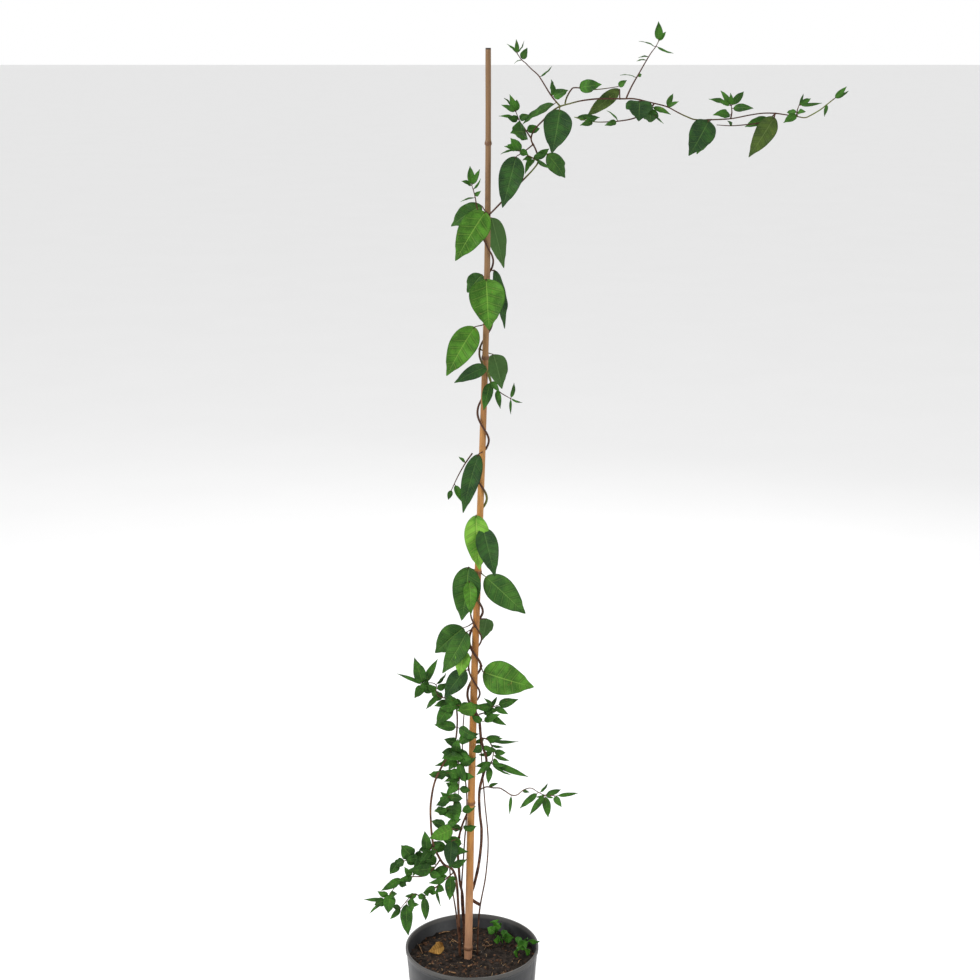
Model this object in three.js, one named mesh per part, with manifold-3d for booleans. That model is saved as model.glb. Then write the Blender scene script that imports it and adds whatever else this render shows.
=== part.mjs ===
// Climbing honeysuckle in a round nursery pot, trained up a bamboo cane.
// Millimetres, +Z up, origin at the centre of the pot's underside. -Y is the front.
import * as THREE from "three";
import { mergeVertices } from "three/addons/utils/BufferGeometryUtils.js";
import Module from "manifold-3d";

const wasm = await Module();
wasm.setup();

// Pot and compost
const RIM_RADIUS = 82.5;
const BASE_RADIUS = 71;
const POT_HEIGHT = 140;
const POT_WALL = 1.6;
const LIP_HEIGHT = 5;
const LIP_PROUD = 1.2;
const POT_FLOOR = 2.5;
const SOIL_TOP = 122;
const POT_SEGMENTS = 40;
const SOIL_LUMP = 1.4;
const SOIL_TILT = 0.012;

// Cane: a bamboo stake, pushed down nearly to the pot's floor
const CANE_ROUTE = [[-7, 0, 24], [-5, 0, 122], [2.5, 0, 459], [13, 0, 760], [18.5, 0, 945], [20.2, 0, 1112], [20.3, 0, 1224]];
const CANE_FOOT_RADIUS = 5;
const CANE_TOP_RADIUS = 3;
const CANE_JOINTS = [136, 331, 624, 880, 1121];
const CANE_JOINT_SWELL = 0.9;
const CANE_SIDES = 12;

// Twining stems wind clockwise, seen from above, and cross the cane's front once a turn
const TWINE_PITCH = 69;
const TWINE_FRONT = 455;
const TWINE_GAP = 0.6;
const TWINE_STEPS_A_TURN = 9;

const CLEARANCE = 0.3;
const STEM_SIDES = 6;
const SHOOT_SIDES = 4;
const LEAF_THICKNESS = 1.1;
const LEAFLET_THICKNESS = 0.8;
const LEAF_ARCH = 0.07;
const LEAF_FOLD = 0.16;
const PETIOLE_RADIUS = 0.7;
const TIP_RADIUS = 0.12;
const WIDEST_AT = 0.4;
const ROUTE_STEP = 13;

const vec = (p) => new THREE.Vector3(p[0], p[1], p[2]);
const curveOf = (points) => new THREE.CatmullRomCurve3(points.map(vec), false, "centripetal");

// ---------- Solids ----------

function toSolid(geometry) {
  const plain = geometry.clone();
  plain.deleteAttribute("normal");
  plain.deleteAttribute("uv");
  const merged = mergeVertices(plain, 1e-3);
  const triVerts = new Uint32Array(merged.index.array);
  const vertProperties = merged.attributes.position.array;
  return new wasm.Manifold(new wasm.Mesh({ numProp: 3, vertProperties, triVerts }));
}

function toGeometry(solid) {
  const mesh = solid.getMesh();
  const geometry = new THREE.BufferGeometry();
  geometry.setAttribute("position", new THREE.BufferAttribute(mesh.vertProperties.slice(), 3));
  geometry.setIndex(new THREE.BufferAttribute(mesh.triVerts.slice(), 1));
  geometry.computeVertexNormals();
  return geometry;
}

const boxesMeet = (a, b) => [0, 1, 2].every((i) => a.min[i] < b.max[i] && b.min[i] < a.max[i]);

function largestBody(solid) {
  return solid.decompose().sort((a, b) => b.volume() - a.volume())[0];
}

// A closed skin over rings of points; each ring turns anticlockwise about the way from first to last.
function loft(rings) {
  const count = rings[0].length;
  const faces = [];
  for (let r = 0; r < rings.length - 1; r++) {
    for (let i = 0; i < count; i++) {
      const a = r * count + i;
      const b = r * count + ((i + 1) % count);
      faces.push(a, b, b + count, a, b + count, a + count);
    }
  }
  const last = (rings.length - 1) * count;
  for (let i = 1; i < count - 1; i++) {
    faces.push(0, i + 1, i, last, last + i, last + i + 1);
  }
  const geometry = new THREE.BufferGeometry().setFromPoints(rings.flat());
  geometry.setIndex(faces);
  return toSolid(geometry);
}

// A round tube along a smooth route; radiusAt gives its radius from 0 at the start to 1 at the end.
function tube(points, radiusAt, sides, steps) {
  const curve = curveOf(points);
  const count = steps ?? Math.max(3, Math.round(curve.getLength() / ROUTE_STEP));
  const frames = curve.computeFrenetFrames(count, false);
  const rings = [];
  for (let i = 0; i <= count; i++) {
    const centre = curve.getPointAt(i / count);
    const across = frames.normals[i];
    const up = new THREE.Vector3().crossVectors(frames.tangents[i], across);
    const ring = [];
    for (let k = 0; k < sides; k++) {
      const angle = (2 * Math.PI * k) / sides;
      const radius = radiusAt(i / count);
      const point = centre.clone().addScaledVector(across, radius * Math.cos(angle));
      ring.push(point.addScaledVector(up, radius * Math.sin(angle)));
    }
    rings.push(ring);
  }
  return loft(rings);
}

const taper = (from, to, grow = 0) => (t) => from + (to - from) * t + grow;

// Half the blade's width as a share of the full width: rounded at the base, pointed at the tip.
function outlineAt(t) {
  return 0.5 * Math.sin(Math.PI * t ** (Math.log(0.5) / Math.log(WIDEST_AT))) ** 0.85;
}

// A leaf: a petiole from the stem, then an arched blade folded along its midrib.
// roll turns the blade about its midrib: 0 faces its upper side to the front, 180 its underside.
function leaf({ from, base, tip, width, roll, thickness, rows, grow = 0 }) {
  const start = vec(base);
  const along = vec(tip).sub(start);
  const length = along.length();
  along.normalize();
  const normal = new THREE.Vector3(0, -1, 0.3);
  normal.addScaledVector(along, -normal.dot(along)).normalize();
  normal.applyAxisAngle(along, THREE.MathUtils.degToRad(roll));
  const side = new THREE.Vector3().crossVectors(normal, along);
  const section = (centre, half, rise, thick, turn = new THREE.Quaternion()) => {
    const across = side.clone().applyQuaternion(turn);
    const up = normal.clone().applyQuaternion(turn);
    return [
      centre.clone().addScaledVector(across, half).addScaledVector(up, rise),
      centre.clone().addScaledVector(up, thick),
      centre.clone().addScaledVector(across, -half).addScaledVector(up, rise),
      centre.clone().addScaledVector(up, -thick),
    ];
  };
  // The stalk's ends are square to the stalk, and the blade's foot is halfway round the bend.
  const stalk = PETIOLE_RADIUS + grow;
  const stalkLine = start.clone().sub(vec(from)).normalize();
  const bend = new THREE.Quaternion().setFromUnitVectors(along, stalkLine);
  const rings = [
    section(vec(from), stalk, 0, stalk, bend),
    section(start, stalk, 0, stalk, new THREE.Quaternion().slerp(bend, 0.5)),
  ];
  for (let i = 1; i <= rows; i++) {
    const t = i / (rows + 1);
    const half = width * outlineAt(t) + grow;
    const centre = start.clone().addScaledVector(along, t * length);
    centre.addScaledVector(normal, LEAF_ARCH * length * 4 * t * (1 - t));
    rings.push(section(centre, half, LEAF_FOLD * half, thickness / 2 + grow));
  }
  rings.push(section(vec(tip), TIP_RADIUS + grow, 0, TIP_RADIUS + grow));
  return loft(rings);
}

// ---------- Routes of the stems ----------

const caneCurve = curveOf(CANE_ROUTE);

function caneCentre(z) {
  const foot = CANE_ROUTE[0][2];
  const top = CANE_ROUTE[CANE_ROUTE.length - 1][2];
  let low = 0;
  let high = 1;
  for (let i = 0; i < 24; i++) {
    const middle = (low + high) / 2;
    if (caneCurve.getPoint(middle).z < z) low = middle;
    else high = middle;
  }
  return { x: caneCurve.getPoint(low).x, share: (z - foot) / (top - foot) };
}

// Points of a stem wound round the cane between two heights; turnOffset is its share of a turn.
function twine(fromZ, toZ, stemRadius, turnOffset = 0) {
  const steps = Math.round(((toZ - fromZ) / TWINE_PITCH) * TWINE_STEPS_A_TURN);
  const points = [];
  for (let i = 0; i <= steps; i++) {
    const z = fromZ + ((toZ - fromZ) * i) / steps;
    const centre = caneCentre(z);
    const caneRadius = CANE_FOOT_RADIUS + (CANE_TOP_RADIUS - CANE_FOOT_RADIUS) * centre.share;
    const radius = caneRadius + CANE_JOINT_SWELL + stemRadius + TWINE_GAP;
    const angle = -Math.PI / 2 - 2 * Math.PI * ((z - TWINE_FRONT) / TWINE_PITCH + turnOffset);
    points.push([centre.x + radius * Math.cos(angle), radius * Math.sin(angle), z]);
  }
  return points;
}

const LEADER_FOOT = [
  [-3, 9, 116], [-2, 8, 160], [-1, 7, 202], [3, 8, 219], [8, 5, 244], [11, 3, 270], [12, 3, 293],
  [10, 4, 314], [9, 4, 333], [10, 5, 348], [14, 5, 365], [18, 3, 380], [17, 2, 392], [14, 1, 402], [11.5, 1, 415],
];
const LEADER_ARCH = [
  [12, -2, 1024], [14, -7, 1036], [21, -9, 1043], [33, -8, 1055], [50, -4, 1072], [70, 2, 1092], [76, 4, 1102],
  [73, 4, 1114], [68, 2, 1125], [71, 2, 1135], [81, 2, 1146], [91, 1, 1156], [99, 0, 1161], [110, 2, 1164],
  [123, 5, 1167], [141, 8, 1169], [159, 10, 1169], [170, 9, 1169], [182, 6, 1169], [201, 2, 1165],
  [217, -2, 1161], [229, -4, 1155], [240, -4, 1150], [250, -3, 1147], [270, -1, 1147], [289, 0, 1148],
  [309, -2, 1152], [323, -3, 1154], [336, -5, 1154], [345, -8, 1153], [359, -14, 1151], [367, -18, 1150],
  [373, -22, 1153], [382, -26, 1159], [389, -28, 1165], [396, -30, 1171],
];
const LEFT_STEM = [
  [-15, 6, 116], [-17, 2, 192], [-18, -2, 216], [-20, -6, 236], [-25, -12, 250], [-34, -16, 257], [-42, -18, 272],
  [-47, -20, 288], [-49, -20, 311], [-49, -19, 339], [-44, -17, 366], [-34, -13, 387], [-25, -9, 401],
  [-19, -7, 416], [-17, -5, 438], [-18, -3, 458],
];
const BACK_FOOT = [
  [-9, 14, 116], [-11, 10, 188], [-12, 9, 206], [-15, 4, 223], [-16, 0, 247], [-17, -2, 265], [-16, -1, 283],
  [-12, 3, 299], [-7, 8, 310], [-2, 9.8, 322], [1, 9.5, 350], [2, 9.3, 385], [2, 9.2, 425],
];

const STEMS = {
  leader_stem: {
    points: [...LEADER_FOOT, ...twine(438, 1007, 1.9), ...LEADER_ARCH],
    radii: [2.3, 0.8],
    steps: 125,
  },
  left_stem: { points: LEFT_STEM, radii: [2.2, 1.3] },
  back_stem: { points: [...BACK_FOOT, ...twine(455, 590, 1.5, 0.5)], radii: [2.1, 1.1], steps: 42 },
};
const PRUNED_STUB = [[-2, 8, 199], [3, 6, 196], [10, 3, 193]];
const STUB_RADIUS = 2;

// Leaflets that grow straight from the leader: [place, tip, width, roll]
const LEADER_LEAFLETS = [
  [[217, -2, 1161], [224, 2, 1175], 6, 0],
  [[217, -2, 1161], [229, -10, 1167], 5, 0],
  [[389, -28, 1165], [386, -30, 1152], 4, 0],
  [[396, -30, 1171], [408, -34, 1184], 6, 0],
  [[396, -30, 1171], [412, -26, 1179], 4, 30],
];

// Short growth on the leader's arch, part of the same piece
const LEADER_TWIGS = [
  {
    route: [[288, 0, 1148], [289, -1, 1155], [288, -2, 1162]],
    leaflets: [
      [2, [262, -12, 1170], 7, 20], [2, [277, 8, 1178], 6, 0], [2, [286, -8, 1176], 5, 0],
      [2, [303, 10, 1177], 8, 0], [1.6, [311, -12, 1160], 9, 0], [0.6, [267, -14, 1153], 10, 10],
    ],
  },
  {
    route: [[359, -14, 1151], [359, -13, 1157], [361, -12, 1163]],
    leaflets: [
      [0.8, [349, -4, 1155], 6, 0], [0.8, [366, -26, 1157], 6, 0], [2, [367, -2, 1175], 3, 20],
      [2, [384, -24, 1166], 4, 20], [2, [375, -4, 1170], 6, 0], [0.5, [343, -24, 1145], 9, 0],
    ],
  },
];

// Leaves: [name, blade base, blade tip, width, roll, shade]
const LEAVES = [
  ["crown_leaf_1", [51, -7, 1107], [36, -26, 1053], 27, 0, "dark"],
  ["crown_leaf_2", [99, -4, 1158], [90, -22, 1112], 31, 0, "dark"],
  ["crown_leaf_3", [86, 8, 1109], [107, 22, 1081], 19, 0, "mid"],
  ["arch_leaf_1", [166, 16, 1179], [130, 24, 1149], 15, 0, "olive"],
  ["arch_leaf_2", [187, -3, 1167], [185, -22, 1147], 30, 0, "dark"],
  ["arch_leaf_4", [263, -6, 1146], [240, -28, 1110], 28, 0, "dark"],
  ["arch_leaf_5", [265, 5, 1144], [253, 12, 1108], 17, 0, "mid"],
  ["arch_leaf_6", [335, -8, 1150], [306, -26, 1108], 22, 0, "olive"],
  ["upper_leaf_1", [17, -13, 1047], [-16, -38, 996], 33, 0, "bright"],
  ["upper_leaf_2", [13, 4, 1052], [-22, 12, 1028], 21, 0, "mid"],
  ["upper_leaf_3", [24, 9, 1038], [38, 28, 979], 22, 180, "under"],
  ["upper_leaf_4", [18, -13, 972], [21, -40, 919], 40, 0, "bright"],
  ["upper_leaf_5", [13, 10, 974], [-4, 18, 952], 20, 0, "mid"],
  ["upper_leaf_6", [27, 10, 979], [40, 24, 909], 15, -25, "dark"],
  ["upper_leaf_7", [5, -8, 917], [-27, -26, 864], 31, 0, "bright"],
  ["upper_leaf_8", [18, -13, 872], [-18, -30, 857], 16, 0, "dark"],
  ["upper_leaf_9", [26, 10, 882], [36, 20, 840], 25, 180, "under"],
  ["middle_leaf_1", [9, -13, 770], [-9, -26, 703], 21, 0, "dark"],
  ["middle_leaf_2", [6, -12, 697], [10, -24, 634], 29, 0, "lime"],
  ["middle_leaf_3", [14, -17, 683], [28, -42, 632], 25, 0, "dark"],
  ["middle_leaf_4", [17, -8, 621], [64, -22, 580], 32, 0, "mid"],
  ["middle_leaf_5", [-3, -8, 633], [-11, -24, 572], 33, 0, "mid"],
  ["middle_leaf_6", [-2, -16, 618], [0, -38, 584], 16, 0, "bright"],
  ["lower_leaf_1", [-9, -5, 557], [-43, -10, 527], 30, 0, "mid"],
  ["lower_leaf_2", [-5, -14, 555], [-34, -28, 508], 24, 0, "mid"],
  ["lower_leaf_3", [14, -9, 503], [74, -28, 491], 39, 0, "bright"],
  ["lower_leaf_4", [-8, -18, 533], [-14, -33, 507], 18, 0, "lime"],
  ["lower_leaf_5", [-7, -7, 505], [-32, -16, 473], 22, 0, "dark"],
  ["lower_leaf_6", [18, 11, 563], [13, 20, 533], 19, 180, "under"],
  ["lower_leaf_7", [6, -15, 460], [-17, -24, 460], 16, 0, "bright"],
  ["base_leaf_1", [-23, -18, 305], [-51, -30, 298], 18, 0, "bright"],
  ["base_leaf_2", [-24, -15, 288], [-26, -28, 258], 17, 0, "dark"],
];

// Side shoots: route from the parent stem, then leaflets as
// [place counted in route points, tip, width, roll]
const SHOOTS = {
  crown_shoot: {
    route: [[99, 0, 1162], [91, 4, 1171], [85, 6, 1180], [80, 8, 1188], [75, 10, 1195], [68, 10, 1201], [61, 8, 1208],
      [57, 8, 1211], [52, 6, 1218]],
    leaflets: [
      [1, [90, 10, 1190], 8, 40], [1, [108, -4, 1179], 11, 0], [0.4, [58, 20, 1141], 11, 30],
      [3.6, [91, 14, 1204], 3, 60], [7, [63, 2, 1224], 8, 0], [7, [49, 16, 1207], 3, 60],
      [8, [41, 14, 1228], 4, 40], [8, [51, 2, 1233], 5, 10], [8, [60, 12, 1231], 3, 70],
    ],
  },
  hand_shoot: {
    route: [[68, 2, 1126], [60, 4, 1138], [55, 5, 1145], [51, 6, 1155]],
    leaflets: [
      [0.6, [45, -22, 1134], 22, 0], [2.2, [32, 0, 1151], 5, 30], [3, [35, -2, 1163], 6, 0], [3, [38, 10, 1170], 5, 40],
      [3, [44, 2, 1174], 7, 0], [3, [52, 12, 1168], 8, 0],
    ],
  },
  crown_side_shoot: {
    route: [[75, 4, 1102], [66, 0, 1107], [57, -3, 1112], [50, -3, 1114]],
    leaflets: [
      [0.2, [89, -6, 1094], 5, 30], [0.4, [67, -12, 1097], 4, 0], [0.8, [61, -12, 1089], 6, 0],
      [2, [45, 0, 1127], 10, 0], [0.3, [88, 4, 1115], 9, 20], [3, [38, -2, 1118], 5, 30], [3, [34, -8, 1110], 3, 30],
    ],
  },
  arc_shoot: {
    route: [[105, 2, 1164], [107, 4, 1171], [112, 8, 1179], [117, 10, 1181], [136, 10, 1179], [150, 12, 1180],
      [164, 14, 1182]],
    leaflets: [[3.1, [145, 2, 1185], 15, 0], [6, [173, 8, 1189], 7, 0]],
  },
  arch_up_shoot: {
    route: [[173, 8, 1170], [176, 8, 1177], [180, 9, 1185], [187, 10, 1197], [192, 10, 1206], [199, 8, 1218],
      [204, 6, 1225], [207, 5, 1231]],
    leaflets: [
      [2.6, [165, 2, 1195], 3, 60], [2.7, [190, 16, 1195], 4, 20], [4.4, [183, 0, 1210], 3, 40],
      [4.7, [186, 18, 1213], 3, 40], [6, [186, 14, 1231], 3, 50], [6.1, [223, 0, 1218], 3, 50],
      [7, [206, 0, 1252], 9, 0], [7, [215, 8, 1241], 5, 0],
    ],
  },
  arch_under_shoot: {
    route: [[203, 1, 1164], [197, -3, 1156], [181, -8, 1149], [165, -10, 1146], [150, -10, 1145], [139, -10, 1145],
      [125, -8, 1147], [115, -6, 1150]],
    leaflets: [
      [6.9, [144, 4, 1149], 6, 0], [5.2, [121, -20, 1142], 7, 0], [3.1, [151, 0, 1157], 3, 40],
      [3.2, [148, -22, 1142], 7, 0], [0.6, [213, -10, 1143], 3, 40], [0.4, [221, -8, 1153], 6, 0],
      [0.5, [200, 14, 1143], 17, 0],
    ],
  },
  arch_low_twig: {
    route: [[337, -4, 1154], [332, 4, 1148], [320, 5, 1143], [305, 5, 1141], [289, 4, 1140], [273, 2, 1141]],
    leaflets: [[0.9, [306, 16, 1138], 10, 0], [3.9, [284, -6, 1146], 4, 0]],
  },
  cane_side_shoot: {
    route: [[14, -7, 1036], [8, -5, 1050], [6, -3, 1061], [4, -2, 1069], [2, -2, 1075]],
    leaflets: [
      [4, [-9, -14, 1081], 6, 20], [4, [0, 4, 1096], 8, 0], [4, [11, -4, 1093], 6, 0], [3.2, [12, -10, 1083], 3, 40],
      [2.3, [12, -14, 1070], 5, 20], [2.1, [-11, 8, 1056], 3, 40],
    ],
  },
  upper_small_shoot: {
    route: [[18, -8, 869], [24, -11, 852], [34, -11, 842], [46, -8, 834]],
    leaflets: [
      [0.8, [33, -22, 845], 7, 0], [0.8, [15, -24, 824], 12, 0], [1.6, [34, -20, 825], 7, 0],
      [3, [50, 0, 851], 5, 20], [3, [59, -16, 831], 3, 40], [3, [46, -14, 817], 3, 0],
    ],
  },
  middle_shoot: {
    route: [[2, -8, 770], [-6, -11, 759], [-14, -12, 745], [-22, -13, 728]],
    leaflets: [[1, [-14, -4, 765], 4, 30], [3, [-26, -14, 716], 6, 0], [2.6, [-9, -17, 713], 8, 0]],
  },
  mid_left_shoot: {
    route: [[-18, -3, 456], [-27, -4, 466], [-38, -6, 471], [-42, -6, 478], [-42, -7, 486], [-49, -8, 489],
      [-57, -10, 487]],
    leaflets: [
      [6, [-67, -18, 524], 15, 0], [6, [-40, 0, 516], 9, 0], [6, [-89, 2, 497], 5, 30], [6, [-67, -22, 475], 11, 0],
      [3, [-52, -16, 489], 9, 0], [2.2, [-54, -14, 458], 7, 20], [4, [-30, 6, 496], 5, 40],
      [0.5, [-42, -13, 438], 17, 0],
    ],
  },
  right_twig: {
    route: [[10, 5, 346], [18, 4, 350], [26, 1, 350], [34, -2, 351], [40, -3, 348], [48, -4, 343], [55, -4, 343],
      [63, -3, 349], [72, -2, 351], [81, -1, 345], [89, 0, 341], [103, 2, 339]],
    leaflets: [
      [5, [46, -10, 320], 4, 0], [9, [58, -10, 328], 8, 20], [9.2, [93, 8, 353], 4, 30], [10, [109, 12, 343], 7, 0],
      [10, [70, -16, 322], 8, 10], [10, [93, -6, 314], 10, 0], [10.8, [109, -8, 329], 8, 0], [11, [130, 6, 341], 5, 0],
    ],
  },
  right_low_shoot: {
    route: [[11.5, 1, 415], [20, 4, 411], [26, 2, 399], [25, -2, 388], [22, -4, 381]],
    leaflets: [
      [0.7, [37, -8, 418], 9, 0], [0.8, [57, 6, 408], 5, 20], [1.5, [39, 8, 400], 4, 30], [2.5, [46, 4, 384], 5, 0],
      [3, [34, -14, 388], 6, 0], [3.4, [69, -6, 367], 8, 0], [4, [20, -14, 362], 8, 0], [3.2, [6, -16, 374], 8, 0],
      [3.6, [48, -12, 372], 4, 30],
    ],
  },
  right_mid_shoot: {
    route: [[9, 4, 444], [17, 6, 446], [23, 5, 452], [31, 3, 456]],
    leaflets: [
      [0.9, [42, -6, 434], 9, 0], [1.6, [22, -10, 441], 7, 0], [3, [56, -6, 467], 11, 0], [2.4, [15, -2, 467], 5, 20],
      [1.8, [31, 12, 464], 5, 0],
    ],
  },
  inner_left_shoot: {
    route: [[-22, -8, 408], [-17, -11, 394], [-14, -10, 377], [-15, -9, 362], [-16, -9, 345], [-19, -9, 331]],
    leaflets: [
      [0.4, [-35, -20, 397], 12, 0], [0.8, [0, -20, 396], 13, 0], [0.6, [-16, -26, 424], 13, 0],
      [1, [-28, 2, 373], 8, 20], [1.3, [-7, -20, 366], 10, 0], [2.6, [-33, -14, 365], 7, 30],
      [3, [-31, -14, 347], 10, 0], [4, [-32, -6, 335], 6, 20], [4.3, [-18, -22, 313], 11, 0],
      [5, [-38, -10, 319], 10, 0],
    ],
  },
  left_low_shoot_1: {
    route: [[-46, -19, 286], [-52, -22, 277], [-61, -24, 271], [-71, -24, 270], [-82, -23, 265], [-89, -22, 263]],
    leaflets: [
      [0.6, [-62, -36, 270], 11, 0], [1.2, [-57, -14, 300], 12, 0], [3, [-85, -26, 287], 18, 0],
      [5, [-99, -30, 251], 12, 0], [1.6, [-71, -38, 252], 11, 0],
    ],
  },
  left_low_shoot_2: {
    route: [[-38, -17, 264], [-47, -23, 254], [-58, -27, 247], [-73, -29, 247], [-84, -30, 246], [-90, -32, 239],
      [-98, -34, 228], [-104, -34, 219]],
    leaflets: [
      [0.9, [-76, -42, 262], 16, 0], [0.6, [-55, -8, 268], 13, 0], [3, [-81, -38, 264], 8, 0],
      [3.1, [-88, -46, 250], 7, 0], [4, [-109, -42, 235], 10, 0], [6, [-101, -44, 206], 15, 0],
      [7, [-118, -36, 213], 11, 0], [7, [-131, -30, 217], 5, 0], [7, [-125, -28, 197], 4, 20],
    ],
  },
  left_low_shoot_3: {
    route: [[-22, -9, 243], [-32, -18, 238], [-43, -24, 231], [-53, -26, 224], [-61, -28, 219], [-69, -30, 225],
      [-77, -30, 218], [-86, -30, 206]],
    leaflets: [
      [0.9, [-52, -32, 240], 8, 0], [2.8, [-58, -42, 232], 8, 0], [3.6, [-56, -32, 190], 10, 0],
      [2, [-38, -26, 206], 4, 30], [7, [-99, -38, 195], 7, 0], [7, [-97, -24, 205], 7, 0],
      [5.6, [-72, -38, 205], 8, 0], [6.3, [-77, -42, 175], 15, 0],
      [0.4, [-27, -24, 213], 13, 0],
    ],
  },
};

// Weeds sown in the compost: a stalk for each leaflet, from one foot just above the surface
const SEEDLING_ROOT = 4;
const SEEDLINGS = {
  seedling_back: { foot: [30, 56, 127], leaflets: [[[27, 62, 141], 13, 30], [[37, 60, 138], 10, 60]] },
  seedling_middle: { foot: [38, 36, 127], leaflets: [[[33, 33, 131], 8, 30], [[44, 34, 132], 7, 50]] },
  seedling_right: {
    foot: [56, 8, 127],
    leaflets: [[[72, -9, 137], 18, 40], [[70, 24, 137], 11, 60], [[84, -4, 147], 9, 40]],
  },
};
const FALLEN_LEAF = { from: [-33, 22.4, 128], base: [-36, 20, 128], tip: [-54, 6, 127], width: 15, roll: 0 };

// ---------- Building ----------

const SHADES = {
  dark: 0x2c5530, mid: 0x3f7a35, bright: 0x4f8a38, lime: 0x7fae45, olive: 0x587542, under: 0x6f8f63,
};

function finish(color, roughness) {
  return new THREE.MeshStandardMaterial({ color, roughness, metalness: 0 });
}

const placed = [];

// Adds a piece, cut back from each earlier piece that it would touch.
function add(name, build, material) {
  let solid = build(0);
  for (const other of placed) {
    if (boxesMeet(solid.boundingBox(), other.clear.boundingBox())) solid = solid.subtract(other.clear);
  }
  solid = largestBody(solid);
  placed.push({ name, solid, clear: build(CLEARANCE), material });
}

function potSolid(grow) {
  const lipFoot = POT_HEIGHT - LIP_HEIGHT;
  const wallTop = RIM_RADIUS - LIP_PROUD;
  const profile = [
    [0, -grow], [BASE_RADIUS - 2, -grow], [BASE_RADIUS + grow, 2 - grow], [wallTop + grow, lipFoot - grow],
    [RIM_RADIUS + grow, lipFoot + 0.8 - grow], [RIM_RADIUS + grow, POT_HEIGHT - 0.8 + grow],
    [RIM_RADIUS - 0.8, POT_HEIGHT + grow], [wallTop - POT_WALL - grow, POT_HEIGHT + grow],
    [BASE_RADIUS - POT_WALL - grow, POT_FLOOR + grow], [0, POT_FLOOR + grow],
  ];
  const shell = new THREE.LatheGeometry(profile.map(([r, z]) => new THREE.Vector2(r, z)), POT_SEGMENTS);
  return toSolid(shell.rotateX(Math.PI / 2));
}

// The compost's surface: low lumps, and a slight fall to one side.
function lumps(x, y) {
  const waves = Math.sin(x * 0.19 + 1) * Math.cos(y * 0.23) + 0.6 * Math.sin(x * 0.41 + y * 0.33);
  return SOIL_LUMP * waves + SOIL_TILT * x;
}

function soilSolid() {
  const innerAt = (z) =>
    BASE_RADIUS - POT_WALL + ((RIM_RADIUS - LIP_PROUD - BASE_RADIUS) * (z - POT_FLOOR)) / (POT_HEIGHT - POT_FLOOR);
  const foot = POT_FLOOR + CLEARANCE;
  const edge = SOIL_TOP - 3;
  const inset = 2 * CLEARANCE;
  const profile = [[0, foot], [innerAt(foot) - inset, foot], [innerAt(edge) - inset, edge]];
  for (const share of [0.88, 0.66, 0.44, 0.22, 0]) {
    profile.push([innerAt(edge) * share, SOIL_TOP]);
  }
  const body = new THREE.LatheGeometry(profile.map(([r, z]) => new THREE.Vector2(r, z)), POT_SEGMENTS);
  body.rotateX(Math.PI / 2);
  const place = body.attributes.position;
  for (let i = 0; i < place.count; i++) {
    if (place.getZ(i) > edge + 1) {
      place.setZ(i, SOIL_TOP + lumps(place.getX(i), place.getY(i)));
    }
  }
  return toSolid(body);
}

function caneSolid(grow) {
  const heights = [CANE_ROUTE[0][2], 80];
  for (const joint of CANE_JOINTS) heights.push(joint - 5, joint, joint + 4);
  heights.push(459, 540, 760, 1010, CANE_ROUTE[CANE_ROUTE.length - 1][2]);
  heights.sort((a, b) => a - b);
  const rings = heights.map((z) => {
    const centre = caneCentre(z);
    const swell = CANE_JOINTS.includes(z) ? CANE_JOINT_SWELL : 0;
    const radius = CANE_FOOT_RADIUS + (CANE_TOP_RADIUS - CANE_FOOT_RADIUS) * centre.share + swell + grow;
    const ends = z === heights[0] ? -grow : z === heights[heights.length - 1] ? grow : 0;
    return Array.from({ length: CANE_SIDES }, (_, k) => {
      const angle = (2 * Math.PI * k) / CANE_SIDES;
      return new THREE.Vector3(centre.x + radius * Math.cos(angle), radius * Math.sin(angle), z + ends);
    });
  });
  return loft(rings);
}

function leafletSolid(from, tip, width, roll, grow) {
  const base = vec(from).lerp(vec(tip), 0.12).toArray();
  const shape = { from, base, tip, width, roll, thickness: LEAFLET_THICKNESS, rows: 2, grow };
  return leaf(shape);
}

function stemSolid(name, grow) {
  const { points, radii, steps } = STEMS[name];
  let solid = tube(points, taper(radii[0], radii[1], grow), STEM_SIDES, steps);
  if (name === "leader_stem") {
    solid = solid.add(tube(PRUNED_STUB, taper(STUB_RADIUS, STUB_RADIUS, grow), STEM_SIDES, 3));
    for (const [from, tip, width, roll] of LEADER_LEAFLETS) {
      solid = solid.add(leafletSolid(from, tip, width, roll, grow));
    }
    for (const twig of LEADER_TWIGS) {
      solid = solid.add(shootSolid(twig, grow));
    }
  }
  return solid;
}

function shootSolid({ route, leaflets }, grow) {
  const curve = curveOf(route);
  let solid = tube(route, taper(0.9, 0.6, grow), SHOOT_SIDES);
  for (const [place, tip, width, roll] of leaflets) {
    const from = curve.getPoint(place / (route.length - 1)).toArray();
    solid = solid.add(leafletSolid(from, tip, width, roll, grow));
  }
  return solid;
}

function seedlingSolid({ foot, leaflets }, grow) {
  const root = [foot[0], foot[1], SOIL_TOP - SEEDLING_ROOT];
  let solid = tube([root, foot], taper(0.9, 0.9, grow), 4, 2);
  for (const [tip, width, roll] of leaflets) {
    const neck = vec(foot).lerp(vec(tip), 0.5);
    neck.z = tip[2] - 2;
    const stalk = tube([foot, neck.toArray(), neck.clone().lerp(vec(tip), 0.3).toArray()], taper(0.8, 0.7, grow), 4, 6);
    const blade = leafletSolid(neck.toArray(), tip, width, roll, grow);
    solid = solid.add(stalk).add(blade);
  }
  return solid;
}

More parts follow.
